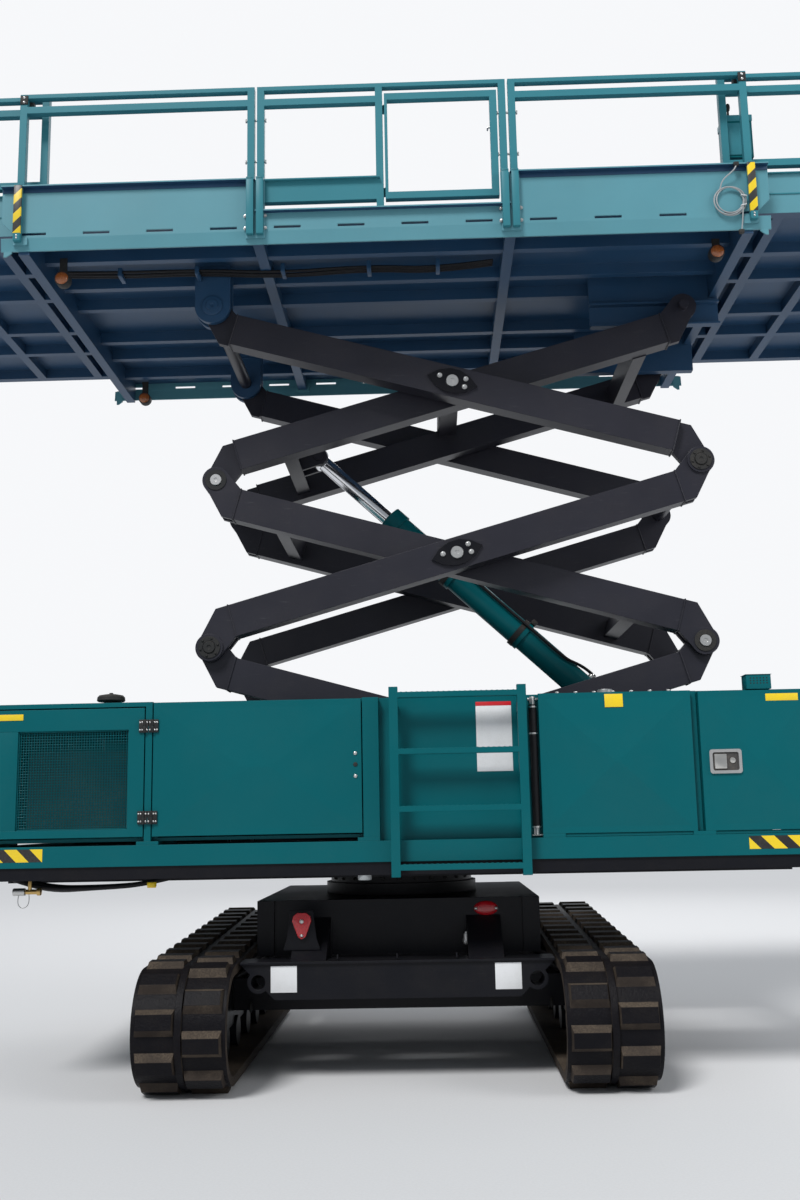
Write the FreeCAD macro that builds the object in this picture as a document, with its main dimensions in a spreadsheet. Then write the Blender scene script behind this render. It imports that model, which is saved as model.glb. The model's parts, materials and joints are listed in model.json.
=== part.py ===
import FreeCAD, Part
import math
import os
import re
import Sketcher

# Scissor lift on crawler tracks: undercarriage, slewing base, three scissor stages,
# platform with two extension decks. +Z is up, X runs along the base and the platform,
# Y along the tracks. The origin is on the ground under the slewing centre.

Vector = FreeCAD.Vector
Rotation = FreeCAD.Rotation
doc = FreeCAD.newDocument("scissor_lift")
sheet = doc.addObject("Spreadsheet::Sheet", "sizes")

# Driving dimensions: name, millimetres (or degrees), what it is.
SIZES = (
    ("track_length", 3000, "over the lugs, along Y"),
    ("track_width", 2500, "over both tracks, along X"),
    ("shoe_width", 450, "one track across"),
    ("belt_thick", 45, "track belt without lugs"),
    ("idler_radius", 280, "belt's outer face at the idler"),
    ("drive_radius", 325, "belt's outer face at the sprocket"),
    ("lug_tall", 30, "lug above the belt"),
    ("lug_long", 124, "lug along the travel, at its foot"),
    ("lug_across", 190, "lug across the belt, at its foot"),
    ("lug_pitch", 199, "from lug to lug in one row"),
    ("lug_taper", 9, "lug's draft at its sides"),
    ("lug_slope", 26, "lug's draft ahead and behind"),
    ("lug_root", 8, "lug's foot inside the belt"),
    ("rib_wide", 34, "raised rib between the rows of lugs"),
    ("rib_tall", 14, "raised rib between the rows of lugs"),
    ("wheel_wide", 124, "idler and sprocket across"),
    ("hub_radius", 156, "drive hub"),
    ("hub_inset", 15, "drive hub behind the track's edges"),
    ("idler_cap", 84, "cap on the idler's axle, radius"),
    ("idler_cap_out", 25, "cap outside the track frame"),
    ("roller_radius", 80, "bottom roller"),
    ("roller_width", 230, "bottom roller"),
    ("roller_pitch", 370, "from one bottom roller to the next"),
    ("carrier_radius", 55, "top roller"),
    ("carrier_stand", 80, "stand of the top roller along X"),
    ("side_frame_width", 200, "track frame across"),
    ("side_frame_low", 200, "track frame's underside"),
    ("side_frame_high", 440, "track frame's top"),
    ("seat_gap", 0.3, "running gap at wheels, rings and pins"),
    ("work_gap", 5, "least gap beside what moves"),
    ("car_gap", 50, "undercarriage box from each track"),
    ("car_length", 1500, "undercarriage box along Y"),
    ("car_low", 590, "underside of the undercarriage box"),
    ("car_high", 873, "top of the undercarriage box"),
    ("car_plate", 16, "top and corner plates of the undercarriage box"),
    ("car_step", 90, "top plate's bevelled border"),
    ("axle_width", 200, "axle beam along Y"),
    ("axle_inset", 75, "upper part of the axle beams from the box's sides"),
    ("axle_place", 350, "axle beam's centre from the middle"),
    ("axle_low", 270, "underside of the axle beams"),
    ("cross_low", 410, "end cross beam's underside"),
    ("cross_high", 583, "end cross beam's top"),
    ("cross_thick", 170, "end cross beam along Y"),
    ("cross_place", 1090, "end cross beam's outer face"),
    ("cross_lip", 12, "top flange of the cross beam, also how far it stands out"),
    ("cross_arm", 180, "arms from the box to the cross beam, along X"),
    ("cross_arm_place", 450, "arms to the cross beam from the middle"),
    ("eye_outer", 55, "tie-down tube outside"),
    ("eye_inner", 36, "tie-down tube inside"),
    ("eye_place", 700, "tie-down tubes from the middle"),
    ("ring_outer", 440, "slewing ring's fixed half"),
    ("ring_step", 25, "turning half inside the fixed half"),
    ("ring_inner", 330, "slewing ring"),
    ("ring_split", 936, "height where the ring turns"),
    ("chassis_low", 990, "underside of the upper frame"),
    ("sill_low", 1020, "underside of the outer sill"),
    ("skirt_low", 1083, "underside of the coloured side beam"),
    ("skirt_high", 1187, "top of the side beam, cabinets' feet stand here"),
    ("base_beyond", 388, "upper frame's end beyond the right pins"),
    ("base_width", 2500, "upper frame along Y"),
    ("skirt_thick", 60, "side beam along Y"),
    ("sill_wide", 80, "outer sill along Y"),
    ("sill_back", 30, "outer sill behind the side beam's inner face"),
    ("sill_wall", 10, "wall of the sill and the chassis rails"),
    ("rail_beyond", 70, "chassis rails beyond the outer arms"),
    ("member_wide", 120, "cross members of the upper frame"),
    ("plate_half", 660, "middle plate of the upper frame, half along X"),
    ("cabinet_low", 1205, "underside of the cabinets"),
    ("cabinet_top", 1903, "top of the cabinets"),
    ("foot_long", 111, "cabinets' feet along X"),
    ("cabinet_depth", 450, "cabinets along Y"),
    ("cabinet_wall", 25, "cabinet walls"),
    ("door_thick", 35, "doors"),
    ("door_gap", 6, "gap round a door"),
    ("hinge_wide", 55, "door hinges, opened flat"),
    ("hinge_tall", 64, "door hinges"),
    ("grille_side", 80, "frame beside the grille"),
    ("grille_foot", 40, "frame under the grille"),
    ("grille_head", 110, "frame over the grille"),
    ("grille_bar", 4, "bars of the grille"),
    ("grille_back", 12, "grille behind the door's face"),
    ("hinge_thick", 8, "leaves and knuckle radius of the door hinges"),
    ("hinge_inset", 100, "middle of a hinge from the end of its door"),
    ("door_low", 1222, "underside of the doors"),
    ("door_high", 1880, "top of the doors"),
    ("post_left", -1235, "middle of the post between the left doors"),
    ("post_wide", 34, "post between the left doors"),
    ("stile_wide", 82, "left locker's frame beside the ladder bay"),
    ("bay_left", -68, "ladder bay's left side"),
    ("bay_right", 743, "ladder bay's right side"),
    ("tank_right", 1508, "right side of the tank"),
    ("locker_left", 1541, "left side of the right locker"),
    ("tank_crown", 26, "height of the pressed pyramids"),
    ("door_crown", 14, "height of the doors' pressed roofs"),
    ("crown_ridge", 140, "ridge of the plain door's pressed roof"),
    ("crown_inset", 30, "plain border round a pressed pyramid"),
    ("panel_back", 50, "ladder panel behind the cabinets' face"),
    ("fitting_back", 170, "roof fittings behind the cabinets' face"),
    ("cap_radius", 70, "breather cap"),
    ("cap_tall", 34, "breather cap"),
    ("cap_place", -1476, "breather cap's middle along X"),
    ("horn_box", 125, "small box on the right locker"),
    ("ladder_left", -12, "ladder's left side"),
    ("ladder_wide", 689, "ladder across"),
    ("ladder_post", 45, "ladder posts"),
    ("ladder_low", 1010, "foot of the ladder posts"),
    ("ladder_high", 1946, "top of the ladder posts"),
    ("ladder_off", 75, "ladder's front in front of the side beam"),
    ("rung_first", 1056, "lowest rung"),
    ("rung_pitch", 283, "from rung to rung"),
    ("rung_thick", 28, "rungs in height"),
    ("rung_deep", 42, "rungs along Y"),
    ("rung_wall", 4, "wall of the rungs, open below"),
    ("engine_long", 620, "engine block along X"),
    ("engine_wide", 1100, "engine block along Y"),
    ("engine_tall", 480, "engine block"),
    ("arm_half", 1480, "from an arm's middle to its pin, along the arm"),
    ("lens_long", 150, "bearing plate on an arm's middle, half along the arm"),
    ("lens_tall", 72, "bearing plate on an arm's middle, half across the arm"),
    ("lens_thick", 12, "bearing plates and outer bosses"),
    ("boss_radius", 76, "boss on the outer arms' end pins"),
    ("pin_offset", 110, "from an arm's axis to its end pins"),
    ("arm_deep", 184, "arm section in height"),
    ("arm_wide", 120, "arm section across"),
    ("arm_wall", 10, "wall of the arm section"),
    ("inner_arm", 430, "inner face of the inner arms"),
    ("outer_arm", 590, "inner face of the outer arms"),
    ("rest_angle", 15.7, "degrees, arms above level as it stands"),
    ("arm_stop", 160, "from the end pin back to the end of the box section"),
    ("fork_plate", 35, "cheek of an arm's fork"),
    ("fitting_lap", 60, "end fittings inside the box section, along the arm"),
    ("fitting_toe", 70, "end fittings' underside beyond the box section"),
    ("pin_beyond", 2, "pins beyond the outer cheeks and bosses"),
    ("middle_tube", 42, "tube through an arm's middle"),
    ("collar_radius", 53, "collar between inner and outer arms"),
    ("pin_radius", 28, "arm pins"),
    ("shaft_radius", 40, "cross shafts on the pins"),
    ("tie_long", 84, "cross tubes between the inner arms, along the arm"),
    ("tie_deep", 116, "cross tubes between the inner arms, in height"),
    ("tip_reach", 80, "from the end pin to the tip of the fitting"),
    ("pivot_left", -1028, "lower left pins, X"),
    ("pivot_high", 1240, "lower pins, Z"),
    ("wheel_radius", 60, "arm end rollers"),
    ("wheel_width", 35, "arm end rollers"),
    ("flange_thick", 12, "flanges of the roller channels"),
    ("channel_beyond", 240, "roller channels beyond the right pins"),
    ("pad_tall", 30, "packing under the lower roller channels"),
    ("foot_inset", 614, "cylinder pins from the end pins, along the inner arms"),
    ("barrel_radius", 82, "cylinder barrel outside"),
    ("barrel_bore", 66, "cylinder barrel inside"),
    ("barrel_length", 1690, "from the foot pin to the end of the gland"),
    ("barrel_start", 78, "barrel's closed end from its foot pin"),
    ("barrel_bottom", 42, "thickness of the barrel's closed end"),
    ("gland_long", 60, "gland inside the barrel's end"),
    ("gland_ring", 90, "ring round the barrel's end"),
    ("gland_out", 9, "ring and clamp bands outside the barrel"),
    ("band_long", 30, "clamp bands of the barrel's hose"),
    ("band_places", 560, "from the gland's end to the first clamp band, and to the next"),
    ("rod_radius", 45, "cylinder rod"),
    ("rod_length", 1500, "from the piston's face to the rod's eye"),
    ("cylinder_eye", 60, "both cylinder eyes, outer radius"),
    ("eye_wide", 100, "both cylinder eyes along the pin"),
    ("lug_thick", 25, "ears that hold the cylinder"),
    ("cylinder_ear", 54, "ears that hold the cylinder, outer radius"),
    ("cylinder_pin", 30, "pins of the cylinder"),
    ("tie_behind", 164, "from the cylinder's pin to the cross tube behind it"),
    ("tie_far", 330, "cross tubes near the ends of the inner arms, from the end pins"),
    ("tie_near", 420, "cross tubes of the middle inner arms, from the end pins"),
    ("tie_sunk", 40, "upper right cross tube below its arm's axis"),
    ("tie_flat", 120, "flat tie in the middle of the top inner arms, along the arm"),
    ("tie_flat_deep", 50, "flat tie in the middle of the top inner arms, in height"),
    ("deck_ear", 104, "ears on the upper left pins, outer radius"),
    ("deck_beyond", 248, "deck's end beyond the right pins"),
    ("panel_beyond", 95, "side plates beyond the deck's ends"),
    ("deck_side", 1232, "outer face of the platform's side plates from the middle"),
    ("deck_drop", 170, "from the upper pins to the platform's underside"),
    ("floor_rise", 82, "from the platform's underside to the floor"),
    ("floor_thick", 8, "floor plate"),
    ("plate_hang", 48, "side plates below the platform's underside"),
    ("plate_tall", 326, "side plates' top above the platform's underside"),
    ("plate_thick", 8, "side plates"),
    ("plate_flange", 30, "outward flange of the side plates"),
    ("fold_rise", 74, "fold line of the side plates above their lower edge"),
    ("slot_long", 147, "drain slots"),
    ("slot_tall", 15, "drain slots"),
    ("rail_rise", 897, "rail top above the platform's underside"),
    ("rail_tube", 40, "posts and rails"),
    ("hand_rail", 24, "top rail in height"),
    ("rail_step", 76, "from the top rail's top to that of the rail below it"),
    ("kick_rise", 198, "low tube beside the gate above the platform's underside"),
    ("entry_tall", 138, "side plate under the gate, above the platform's underside"),
    ("gate_stile", 16, "gate's stile at its hinges"),
    ("gate_pin", 11, "knuckles of the gate's hinges"),
    ("post_inset", 2, "middle of the end posts inside the deck's ends"),
    ("panel_break", 700, "where the side panels meet"),
    ("panel_pair", 27, "half the distance between paired posts"),
    ("socket_foot", 45, "brackets under the posts, in height"),
    ("socket_wide", 52, "sockets and brackets along X, on each post"),
    ("socket_out", 8, "sockets and brackets in front of the side plates"),
    ("hook_long", 60, "hooks at the platform's corners"),
    ("lip_lean", 10, "side plates' lower lip leans in at its edge"),
    ("corner_cut", 95, "cut corner at the side plates' ends, in height"),
    ("slot_over", 14, "drain slots above the fold"),
    ("cable_radius", 4, "control cable"),
    ("coil_radius", 82, "control cable's coil, middle of the cable"),
    ("coil_place", 125, "coil's middle from the deck's end"),
    ("coil_rise", 142, "coil's middle above the platform's underside"),
    ("beam_wide", 60, "frame channels of the platform"),
    ("end_beam", 66, "end beams of the platform below its underside"),
    ("strip_wide", 48, "lengthwise channels of the platform and the extension decks"),
    ("strip_tall", 70, "lengthwise channels of the platform"),
    ("strip_inner", 240, "inner lengthwise channels from the middle"),
    ("strip_outer", 900, "outer lengthwise channels from the middle"),
    ("channel_start", 2250, "inner end of the roller channels from the left pins"),
    ("ext_half", 1130, "half of an extension deck along Y"),
    ("ext_length", 1300, "extension deck along X"),
    ("ext_lap", 260, "extension deck over the main deck, run out"),
    ("ext_frame", 64, "extension deck's frame in height"),
    ("ext_post", 167, "first post of an extension deck from its inner end"),
    ("ext_toe", 238, "toe boards of the extension decks, from their underside"),
    ("ext_rise", 946, "top rail of the extension decks above the platform's underside"),
    ("ext_middle", 381, "low rail of the extension decks above the platform's underside"),
    ("box_place", 178, "control box from the extension deck's inner end"),
    ("box_rise", 458, "control box above the platform's underside"),
    ("box_wide", 155, "control box along X"),
    ("box_deep", 130, "control box along Y"),
    ("box_tall", 255, "control box"),
)

for row, (alias, number, meaning) in enumerate(SIZES, start=1):
    sheet.set(f"A{row}", alias)
    sheet.set(f"B{row}", str(number))
    sheet.setAlias(f"B{row}", alias)
    sheet.set(f"C{row}", meaning)
doc.recompute()

ALIASES = {alias for alias, number, meaning in SIZES}
NODES = []


def value(alias):
    """A driving dimension as a number."""
    return float(getattr(sheet, alias))


def link(text):
    """An expression in which each size's name points at its cell."""
    return re.sub(r"[a-z_]+", lambda m: "sizes." + m.group(0) if m.group(0) in ALIASES else m.group(0),
                  str(text))


def bind(thing, **properties):
    for name, text in properties.items():
        thing.setExpression(name, link(text))
    return thing


def place(thing, at=(0, 0, 0), axis=None, angle=None):
    """Puts a shape at a point, turned about an axis by an angle in degrees."""
    if axis:
        thing.Placement = FreeCAD.Placement(Vector(), Rotation(Vector(*axis), 1))
        thing.setExpression("Placement.Rotation.Angle", link(angle))
    for letter, text in zip("xyz", at):
        thing.setExpression("Placement.Base." + letter, link(text))
    return thing


def block(size, at):
    """Box of a size along X, Y and Z whose lowest corner is at a point."""
    box = bind(doc.addObject("Part::Box", "block"), Length=size[0], Width=size[1], Height=size[2])
    return place(box, at)


def rod(radius, length, at, along="y"):
    """Cylinder that starts at a point and runs along +X, +Y or +Z."""
    bar = bind(doc.addObject("Part::Cylinder", "rod"), Radius=radius, Height=length)
    turns = {"x": ((0, 1, 0), 90), "y": ((-1, 0, 0), 90), "z": ((0, 0, 1), 0)}
    axis, angle = turns[along]
    return place(bar, at, axis, angle)


def taper(bottom, top, tall, at=None, turn=None):
    """Frustum: bottom and top are (x, y) sizes about the point, its height along its own Y."""
    wedge = doc.addObject("Part::Wedge", "taper")
    across, deep = bottom
    small_x, small_y = top
    bind(wedge, Xmin=f"-({across})/2", Xmax=f"({across})/2", Zmin=f"-({deep})/2", Zmax=f"({deep})/2",
         X2min=f"-({small_x})/2", X2max=f"({small_x})/2", Z2min=f"-({small_y})/2",
         Z2max=f"({small_y})/2", Ymin="0", Ymax=tall)
    return place(wedge, at, *turn) if at else wedge


PLANES = {
    "xz": (Rotation(Vector(1, 0, 0), 90), Vector(0, 1, 0)),
    "yz": (Rotation(Vector(1, 1, 1), 120), Vector(1, 0, 0)),
}


def prism(outline, thick, at=(0, 0, 0), plane="xz"):
    """Extrusion of a closed outline of (across, up) points, along the plane's normal axis."""
    rotation, direction = PLANES[plane]
    sketch = doc.addObject("Sketcher::SketchObject", "outline")
    count = len(outline)
    # The solver starts from a regular polygon of about the machine's size.
    start = [Vector(math.cos(-2 * math.pi * i / count), math.sin(-2 * math.pi * i / count), 0)
             * value("cabinet_depth") for i in range(count)]
    for i in range(count):
        sketch.addGeometry(Part.LineSegment(start[i], start[(i + 1) % count]), False)
    for i in range(count):
        sketch.addConstraint(Sketcher.Constraint("Coincident", i, 2, (i + 1) % count, 1))
    for i, point in enumerate(outline):
        for kind, text in zip(("DistanceX", "DistanceY"), point):
            number = sketch.addConstraint(Sketcher.Constraint(kind, i, 1, 1.0))
            sketch.setExpression(f"Constraints[{number}]", link(text))
    sketch.Placement = FreeCAD.Placement(Vector(), rotation)
    solid = doc.addObject("Part::Extrusion", "prism")
    solid.Base = sketch
    solid.DirMode = "Custom"
    solid.Dir = direction
    solid.Solid = True
    bind(solid, LengthFwd=thick)
    return place(solid, at)


def fuse(*things):
    if len(things) == 1:
        return things[0]
    whole = doc.addObject("Part::MultiFuse", "fused")
    whole.Shapes = list(things)
    return whole


def cut(base, *tools):
    rest = doc.addObject("Part::Cut", "cut")
    rest.Base = base
    rest.Tool = fuse(*tools)
    return rest


def group(*things):
    """Solids of one node that don't touch."""
    several = doc.addObject("Part::Compound", "group")
    several.Links = list(things)
    return several


def mirrored(thing, axis):
    twin = doc.addObject("Part::Mirroring", "mirrored")
    twin.Source = thing
    twin.Normal = {"x": Vector(1, 0, 0), "y": Vector(0, 1, 0), "z": Vector(0, 0, 1)}[axis]
    return twin


def both(thing, axis="y"):
    """A shape and its mirror image."""
    return thing, mirrored(thing, axis)


def node(label, thing):
    thing.Label = label
    NODES.append(thing)
    return thing


# Places that follow from the sizes.
SHOE = "(track_width/2-shoe_width/2)"
CAR = "(track_width/2-shoe_width-car_gap)"
IDLER_Y = "(lug_tall+idler_radius-track_length/2)"
DRIVE_Y = "(track_length/2-lug_tall-drive_radius)"
IDLER_Z = "(lug_tall+idler_radius)"
DRIVE_Z = "(lug_tall+drive_radius)"
SLOPE = f"(2*atan((drive_radius-idler_radius)/({DRIVE_Y}-{IDLER_Y})))"
RISE = "(2*(arm_half*sin(rest_angle)+pin_offset*cos(rest_angle)))"
SPAN = "(arm_half*cos(rest_angle)-pin_offset*sin(rest_angle))"
MIDDLE_X = f"(pivot_left+{SPAN})"
RIGHT_X = f"(pivot_left+2*{SPAN})"
BASE = f"({RIGHT_X}+base_beyond)"
DECK_END = f"({RIGHT_X}+deck_beyond)"
POST_END = f"({DECK_END}-post_inset)"
EXT_START = f"({DECK_END}-ext_lap)"
FOOT = "(arm_half-foot_inset)"
TOP = f"(pivot_high+3*{RISE})"
TRACK_LOW = "(pivot_high-wheel_radius-seat_gap-flange_thick)"
RAIL_TOP = f"({TRACK_LOW}-pad_tall)"
DECK = f"({TOP}+deck_drop)"
FLOOR = f"({DECK}+floor_rise+floor_thick)"
FRONT = "(-base_width/2)"
WHEEL_OFF = "(2*work_gap)"


def belt(inset, wide="shoe_width"):
    """The track loop's outline filled, inset from the belt's outer face."""
    left = f"({SHOE}-{wide}/2)"
    small = f"(idler_radius-{inset})"
    large = f"(drive_radius-{inset})"
    ends = (rod(small, wide, (left, IDLER_Y, IDLER_Z), "x"),
            rod(large, wide, (left, DRIVE_Y, DRIVE_Z), "x"))
    middle = prism((
        (IDLER_Y, f"{IDLER_Z}-{small}"),
        (DRIVE_Y, f"{DRIVE_Z}-{large}"),
        (f"{DRIVE_Y}-{large}*sin({SLOPE})", f"{DRIVE_Z}+{large}*cos({SLOPE})"),
        (f"{IDLER_Y}-{small}*sin({SLOPE})", f"{IDLER_Z}+{small}*cos({SLOPE})"),
    ), wide, (left, 0, 0), "yz")
    return fuse(middle, *ends)


def lug_places():
    """Places along the belt's outer face: (y, z, angle of the outward normal from +Z)."""
    small, large = value("idler_radius"), value("drive_radius")
    near = value("lug_tall") + small - value("track_length") / 2
    far = value("track_length") / 2 - value("lug_tall") - large
    near_z, far_z = value("lug_tall") + small, value("lug_tall") + large
    slope = 2 * math.atan((large - small) / (far - near))
    run = math.hypot(far - near, large - small) * math.cos(slope / 2)
    turn = math.pi + slope
    lengths = (run, large * turn, run, small * (2 * math.pi - turn))
    loop = sum(lengths)
    count = 2 * round(loop / value("lug_pitch"))
    for i in range(count):
        along = loop * i / count
        if along < lengths[0]:
            yield i, near + along, value("lug_tall"), math.pi
        elif along < sum(lengths[:2]):
            normal = math.pi - (along - lengths[0]) / large
            yield i, far + large * math.sin(normal), far_z + large * math.cos(normal), normal
        elif along < sum(lengths[:3]):
            back = along - sum(lengths[:2])
            yield (i, far - large * math.sin(slope) - back * math.cos(slope),
                   far_z + large * math.cos(slope) - back * math.sin(slope), -slope)
        else:
            normal = -slope - (along - sum(lengths[:3])) / small
            yield i, near + small * math.sin(normal), near_z + small * math.cos(normal), normal


def build_tracks():
    lugs = []
    for i, y, z, normal in lug_places():
        lug = taper(("lug_across", "lug_long"), ("lug_across-2*lug_taper", "lug_long-2*lug_slope"),
                    "lug_tall+lug_root")
        row = 1 if i % 2 else -1
        sideways = value("track_width") / 2 - value("shoe_width") / 2 + row * value("shoe_width") / 4
        # The wedge's height runs along its own Y, which is turned onto the outward normal.
        upright = Rotation(Vector(1, 0, 0), 90 - math.degrees(normal))
        outward = Vector(0, math.sin(normal), math.cos(normal))
        lug.Placement = FreeCAD.Placement(Vector(sideways, y, z) - outward * value("lug_root"), upright)
        lugs.append(lug)
    loop = cut(fuse(belt("0"), belt("-rib_tall", "rib_wide")), belt("belt_thick"))
    right = fuse(loop, *lugs)
    node("track_right", right)
    node("track_left", mirrored(right, "x"))


def build_track_frames():
    """Track frame with idler, sprocket, hub and rollers, all fixed."""
    inner = "(belt_thick+seat_gap)"

    def wheel(radius, wide, y, z):
        return rod(radius, wide, (f"{SHOE}-({wide})/2", y, z), "x")

    left = f"({SHOE}-side_frame_width/2)"
    parts = [
        block(("side_frame_width", f"{DRIVE_Y}-{IDLER_Y}", "side_frame_high-side_frame_low"),
              (left, IDLER_Y, "side_frame_low")),
        wheel(f"idler_radius-{inner}", "wheel_wide", IDLER_Y, IDLER_Z),
        wheel("idler_cap", "side_frame_width+2*idler_cap_out", IDLER_Y, IDLER_Z),
        wheel(f"drive_radius-{inner}", "wheel_wide", DRIVE_Y, DRIVE_Z),
        wheel("hub_radius", "shoe_width-2*hub_inset", DRIVE_Y, DRIVE_Z),
    ]
    roller_z = "lug_tall+belt_thick+seat_gap+roller_radius"
    parts += [wheel("roller_radius", "roller_width", f"{i}*roller_pitch", roller_z) for i in (-2, -1, 0, 1, 2)]
    carrier_z = (f"({IDLER_Z}+(idler_radius-{inner}-carrier_radius)/cos({SLOPE})"
                 f"-{IDLER_Y}*tan({SLOPE}))")
    parts.append(wheel("carrier_radius", "side_frame_width", 0, carrier_z))
    parts.append(block(("carrier_stand", "carrier_radius", f"{carrier_z}-side_frame_high"),
                       (f"{SHOE}-carrier_stand/2", "-carrier_radius/2", "side_frame_high")))
    right = fuse(*parts)
    node("track_frame_right", right)
    node("track_frame_left", mirrored(right, "x"))


def build_car_body():
    box = block((f"2*{CAR}", "car_length", "car_high-car_low"), (f"-{CAR}", "-car_length/2", "car_low"))
    # Plates that stand proud at the box's corners.
    corner = [block(("car_step", "car_plate", "car_high-car_low"),
                    (f"{CAR}-car_step", "-car_length/2-car_plate", "car_low"))]
    corner = [part for one in corner for half in both(one) for part in both(half, "x")]
    frame_face = f"({SHOE}-side_frame_width/2)"
    inner_half = f"({CAR}-axle_inset)"
    axle = fuse(block((f"2*{frame_face}", "axle_width", "side_frame_high-axle_low"),
                      (f"-{frame_face}", "axle_place-axle_width/2", "axle_low")),
                block((f"2*{inner_half}", "axle_width", "car_low-side_frame_high"),
                      (f"-{inner_half}", "axle_place-axle_width/2", "side_frame_high")))
    reach = f"({SHOE}-shoe_width/2-2*work_gap)"
    foot = f"({reach}-(cross_high-cross_low))"
    beam = prism(((f"-{reach}", "cross_high"), (reach, "cross_high"), (foot, "cross_low"),
                  (f"-{foot}", "cross_low")), "cross_thick", (0, "-cross_place", 0))
    lip = block((f"2*{reach}", "cross_thick+cross_lip", "cross_lip"),
                (f"-{reach}", "-cross_place-cross_lip", "cross_high"))
    arm = prism((("-cross_place", "cross_high"), ("-car_length/2", "car_high-car_step"),
                 ("-car_length/2", "car_low"), ("-cross_place+cross_thick", "cross_low")),
                "cross_arm", ("cross_arm_place-cross_arm/2", 0, 0), "yz")
    eye_z = "(cross_low+cross_high)/2"
    eye = rod("eye_outer", "cross_thick", ("eye_place", "-cross_place", eye_z))
    bore = rod("eye_inner", "cross_thick+2*work_gap", ("eye_place", "-cross_place-work_gap", eye_z))
    end = cut(fuse(beam, lip, *both(arm, "x"), *both(eye, "x")), *both(bore, "x"))
    node("car_body", fuse(box, *corner))
    node("axle_front", axle)
    node("axle_back", mirrored(axle, "y"))
    node("end_beam_front", end)
    node("end_beam_back", mirrored(end, "y"))
    ring = cut(rod("ring_outer", "ring_split-car_high", (0, 0, "car_high"), "z"),
               rod("ring_inner", "ring_split-car_high+2*work_gap", (0, 0, "car_high-work_gap"), "z"))
    node("slew_ring_fixed", ring)


def channel(size, at, wall, open_side):
    """Box section open on one side: -1 below, 1 towards the middle of the machine."""
    long, wide, tall = size
    x, y, z = at
    if open_side < 0:
        room = block((f"{long}+2*work_gap", f"{wide}-2*{wall}", f"{tall}-{wall}+work_gap"),
                     (f"{x}-work_gap", f"{y}+{wall}", f"{z}-work_gap"))
    else:
        room = block((f"{long}+2*work_gap", f"{wide}-{wall}+work_gap", f"{tall}-2*{wall}"),
                     (f"{x}-work_gap", f"{y}-work_gap", f"{z}+{wall}"))
    return cut(block(size, at), room)


def build_chassis():
    ring = cut(rod("ring_outer-ring_step", "chassis_low-ring_split-seat_gap", (0, 0, "ring_split+seat_gap"), "z"),
               rod("ring_inner", "chassis_low-ring_split+2*work_gap", (0, 0, "ring_split-work_gap"), "z"))
    node("slew_ring_turning", ring)
    inside = f"({BASE}-skirt_thick)"
    half_wide = "(base_width/2-skirt_thick)"
    rail = channel((f"2*{inside}", "(outer_arm+arm_wide+rail_beyond-inner_arm)", f"({RAIL_TOP}-chassis_low)"),
                   (f"-{inside}", "inner_arm", "chassis_low"), "sill_wall", -1)
    sill = channel((f"2*{BASE}", "sill_wide", "(skirt_low-sill_low)"),
                   (f"-{BASE}", f"({half_wide}-sill_back)", "sill_low"), "sill_wall", 1)
    ledge = block((f"2*{inside}", "skirt_thick", "skirt_high-skirt_low"),
                  (f"-{inside}", "base_width/2-cabinet_depth", "skirt_low"))
    parts = [*both(rail), *both(sill), *both(ledge)]
    for share in (-0.93, -0.5, 0.5, 0.93):
        parts.append(block(("member_wide", f"2*{half_wide}", "skirt_low-sill_low"),
                           (f"{share}*{BASE}-member_wide/2", f"-{half_wide}", "sill_low")))
    parts.append(block(("2*plate_half", "2*inner_arm", "skirt_low-chassis_low"),
                       ("-plate_half", "-inner_arm", "chassis_low")))
    node("chassis", fuse(*parts))
    skirt = block((f"2*{BASE}", "skirt_thick", "skirt_high-skirt_low"), (f"-{BASE}", FRONT, "skirt_low"))
    end = block(("skirt_thick", f"2*{half_wide}", "skirt_high-skirt_low"),
                (f"-{BASE}", f"-{half_wide}", "skirt_low"))
    node("side_beams", fuse(*both(skirt), *both(end, "x")))


def build_pivots():
    """Ears for the fixed lower pins and channels for the lower rollers."""
    parts = []
    for y in ("inner_arm", "inner_arm+arm_wide-fork_plate"):
        plate = fuse(block(("2*tip_reach", "fork_plate", f"pivot_high-{RAIL_TOP}"),
                           ("pivot_left-tip_reach", y, RAIL_TOP)),
                     rod("tip_reach", "fork_plate", ("pivot_left", y, "pivot_high")))
        parts += both(cut(plate, pin_hole("pivot_left", y, "pivot_high")))
    floor = f"(outer_arm+arm_wide+{WHEEL_OFF}-work_gap)"
    wide = "(wheel_width+2*work_gap+flange_thick)"
    top = "(pivot_high+wheel_radius+work_gap)"
    start = "(pivot_left+channel_start)"
    long_run = f"({RIGHT_X}+channel_beyond-{start})"
    lower = block((long_run, wide, "flange_thick+pad_tall"), (start, floor, RAIL_TOP))
    upper = block((long_run, wide, "flange_thick"), (start, floor, top))
    web = block((long_run, "flange_thick", f"{top}-{RAIL_TOP}"),
                (start, f"{floor}+{wide}-flange_thick", RAIL_TOP))
    parts += both(fuse(lower, upper, web))
    node("lower_pivots", group(*parts))


def pin_hole(x, y, z):
    """Hole for an arm pin through a cheek that starts at y."""
    return rod("pin_radius+seat_gap", "fork_plate+2*work_gap", (x, f"{y}-work_gap", z))


# Turns a frustum so that its height points to the front.
FACING = ((0, 0, 1), 180)
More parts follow.
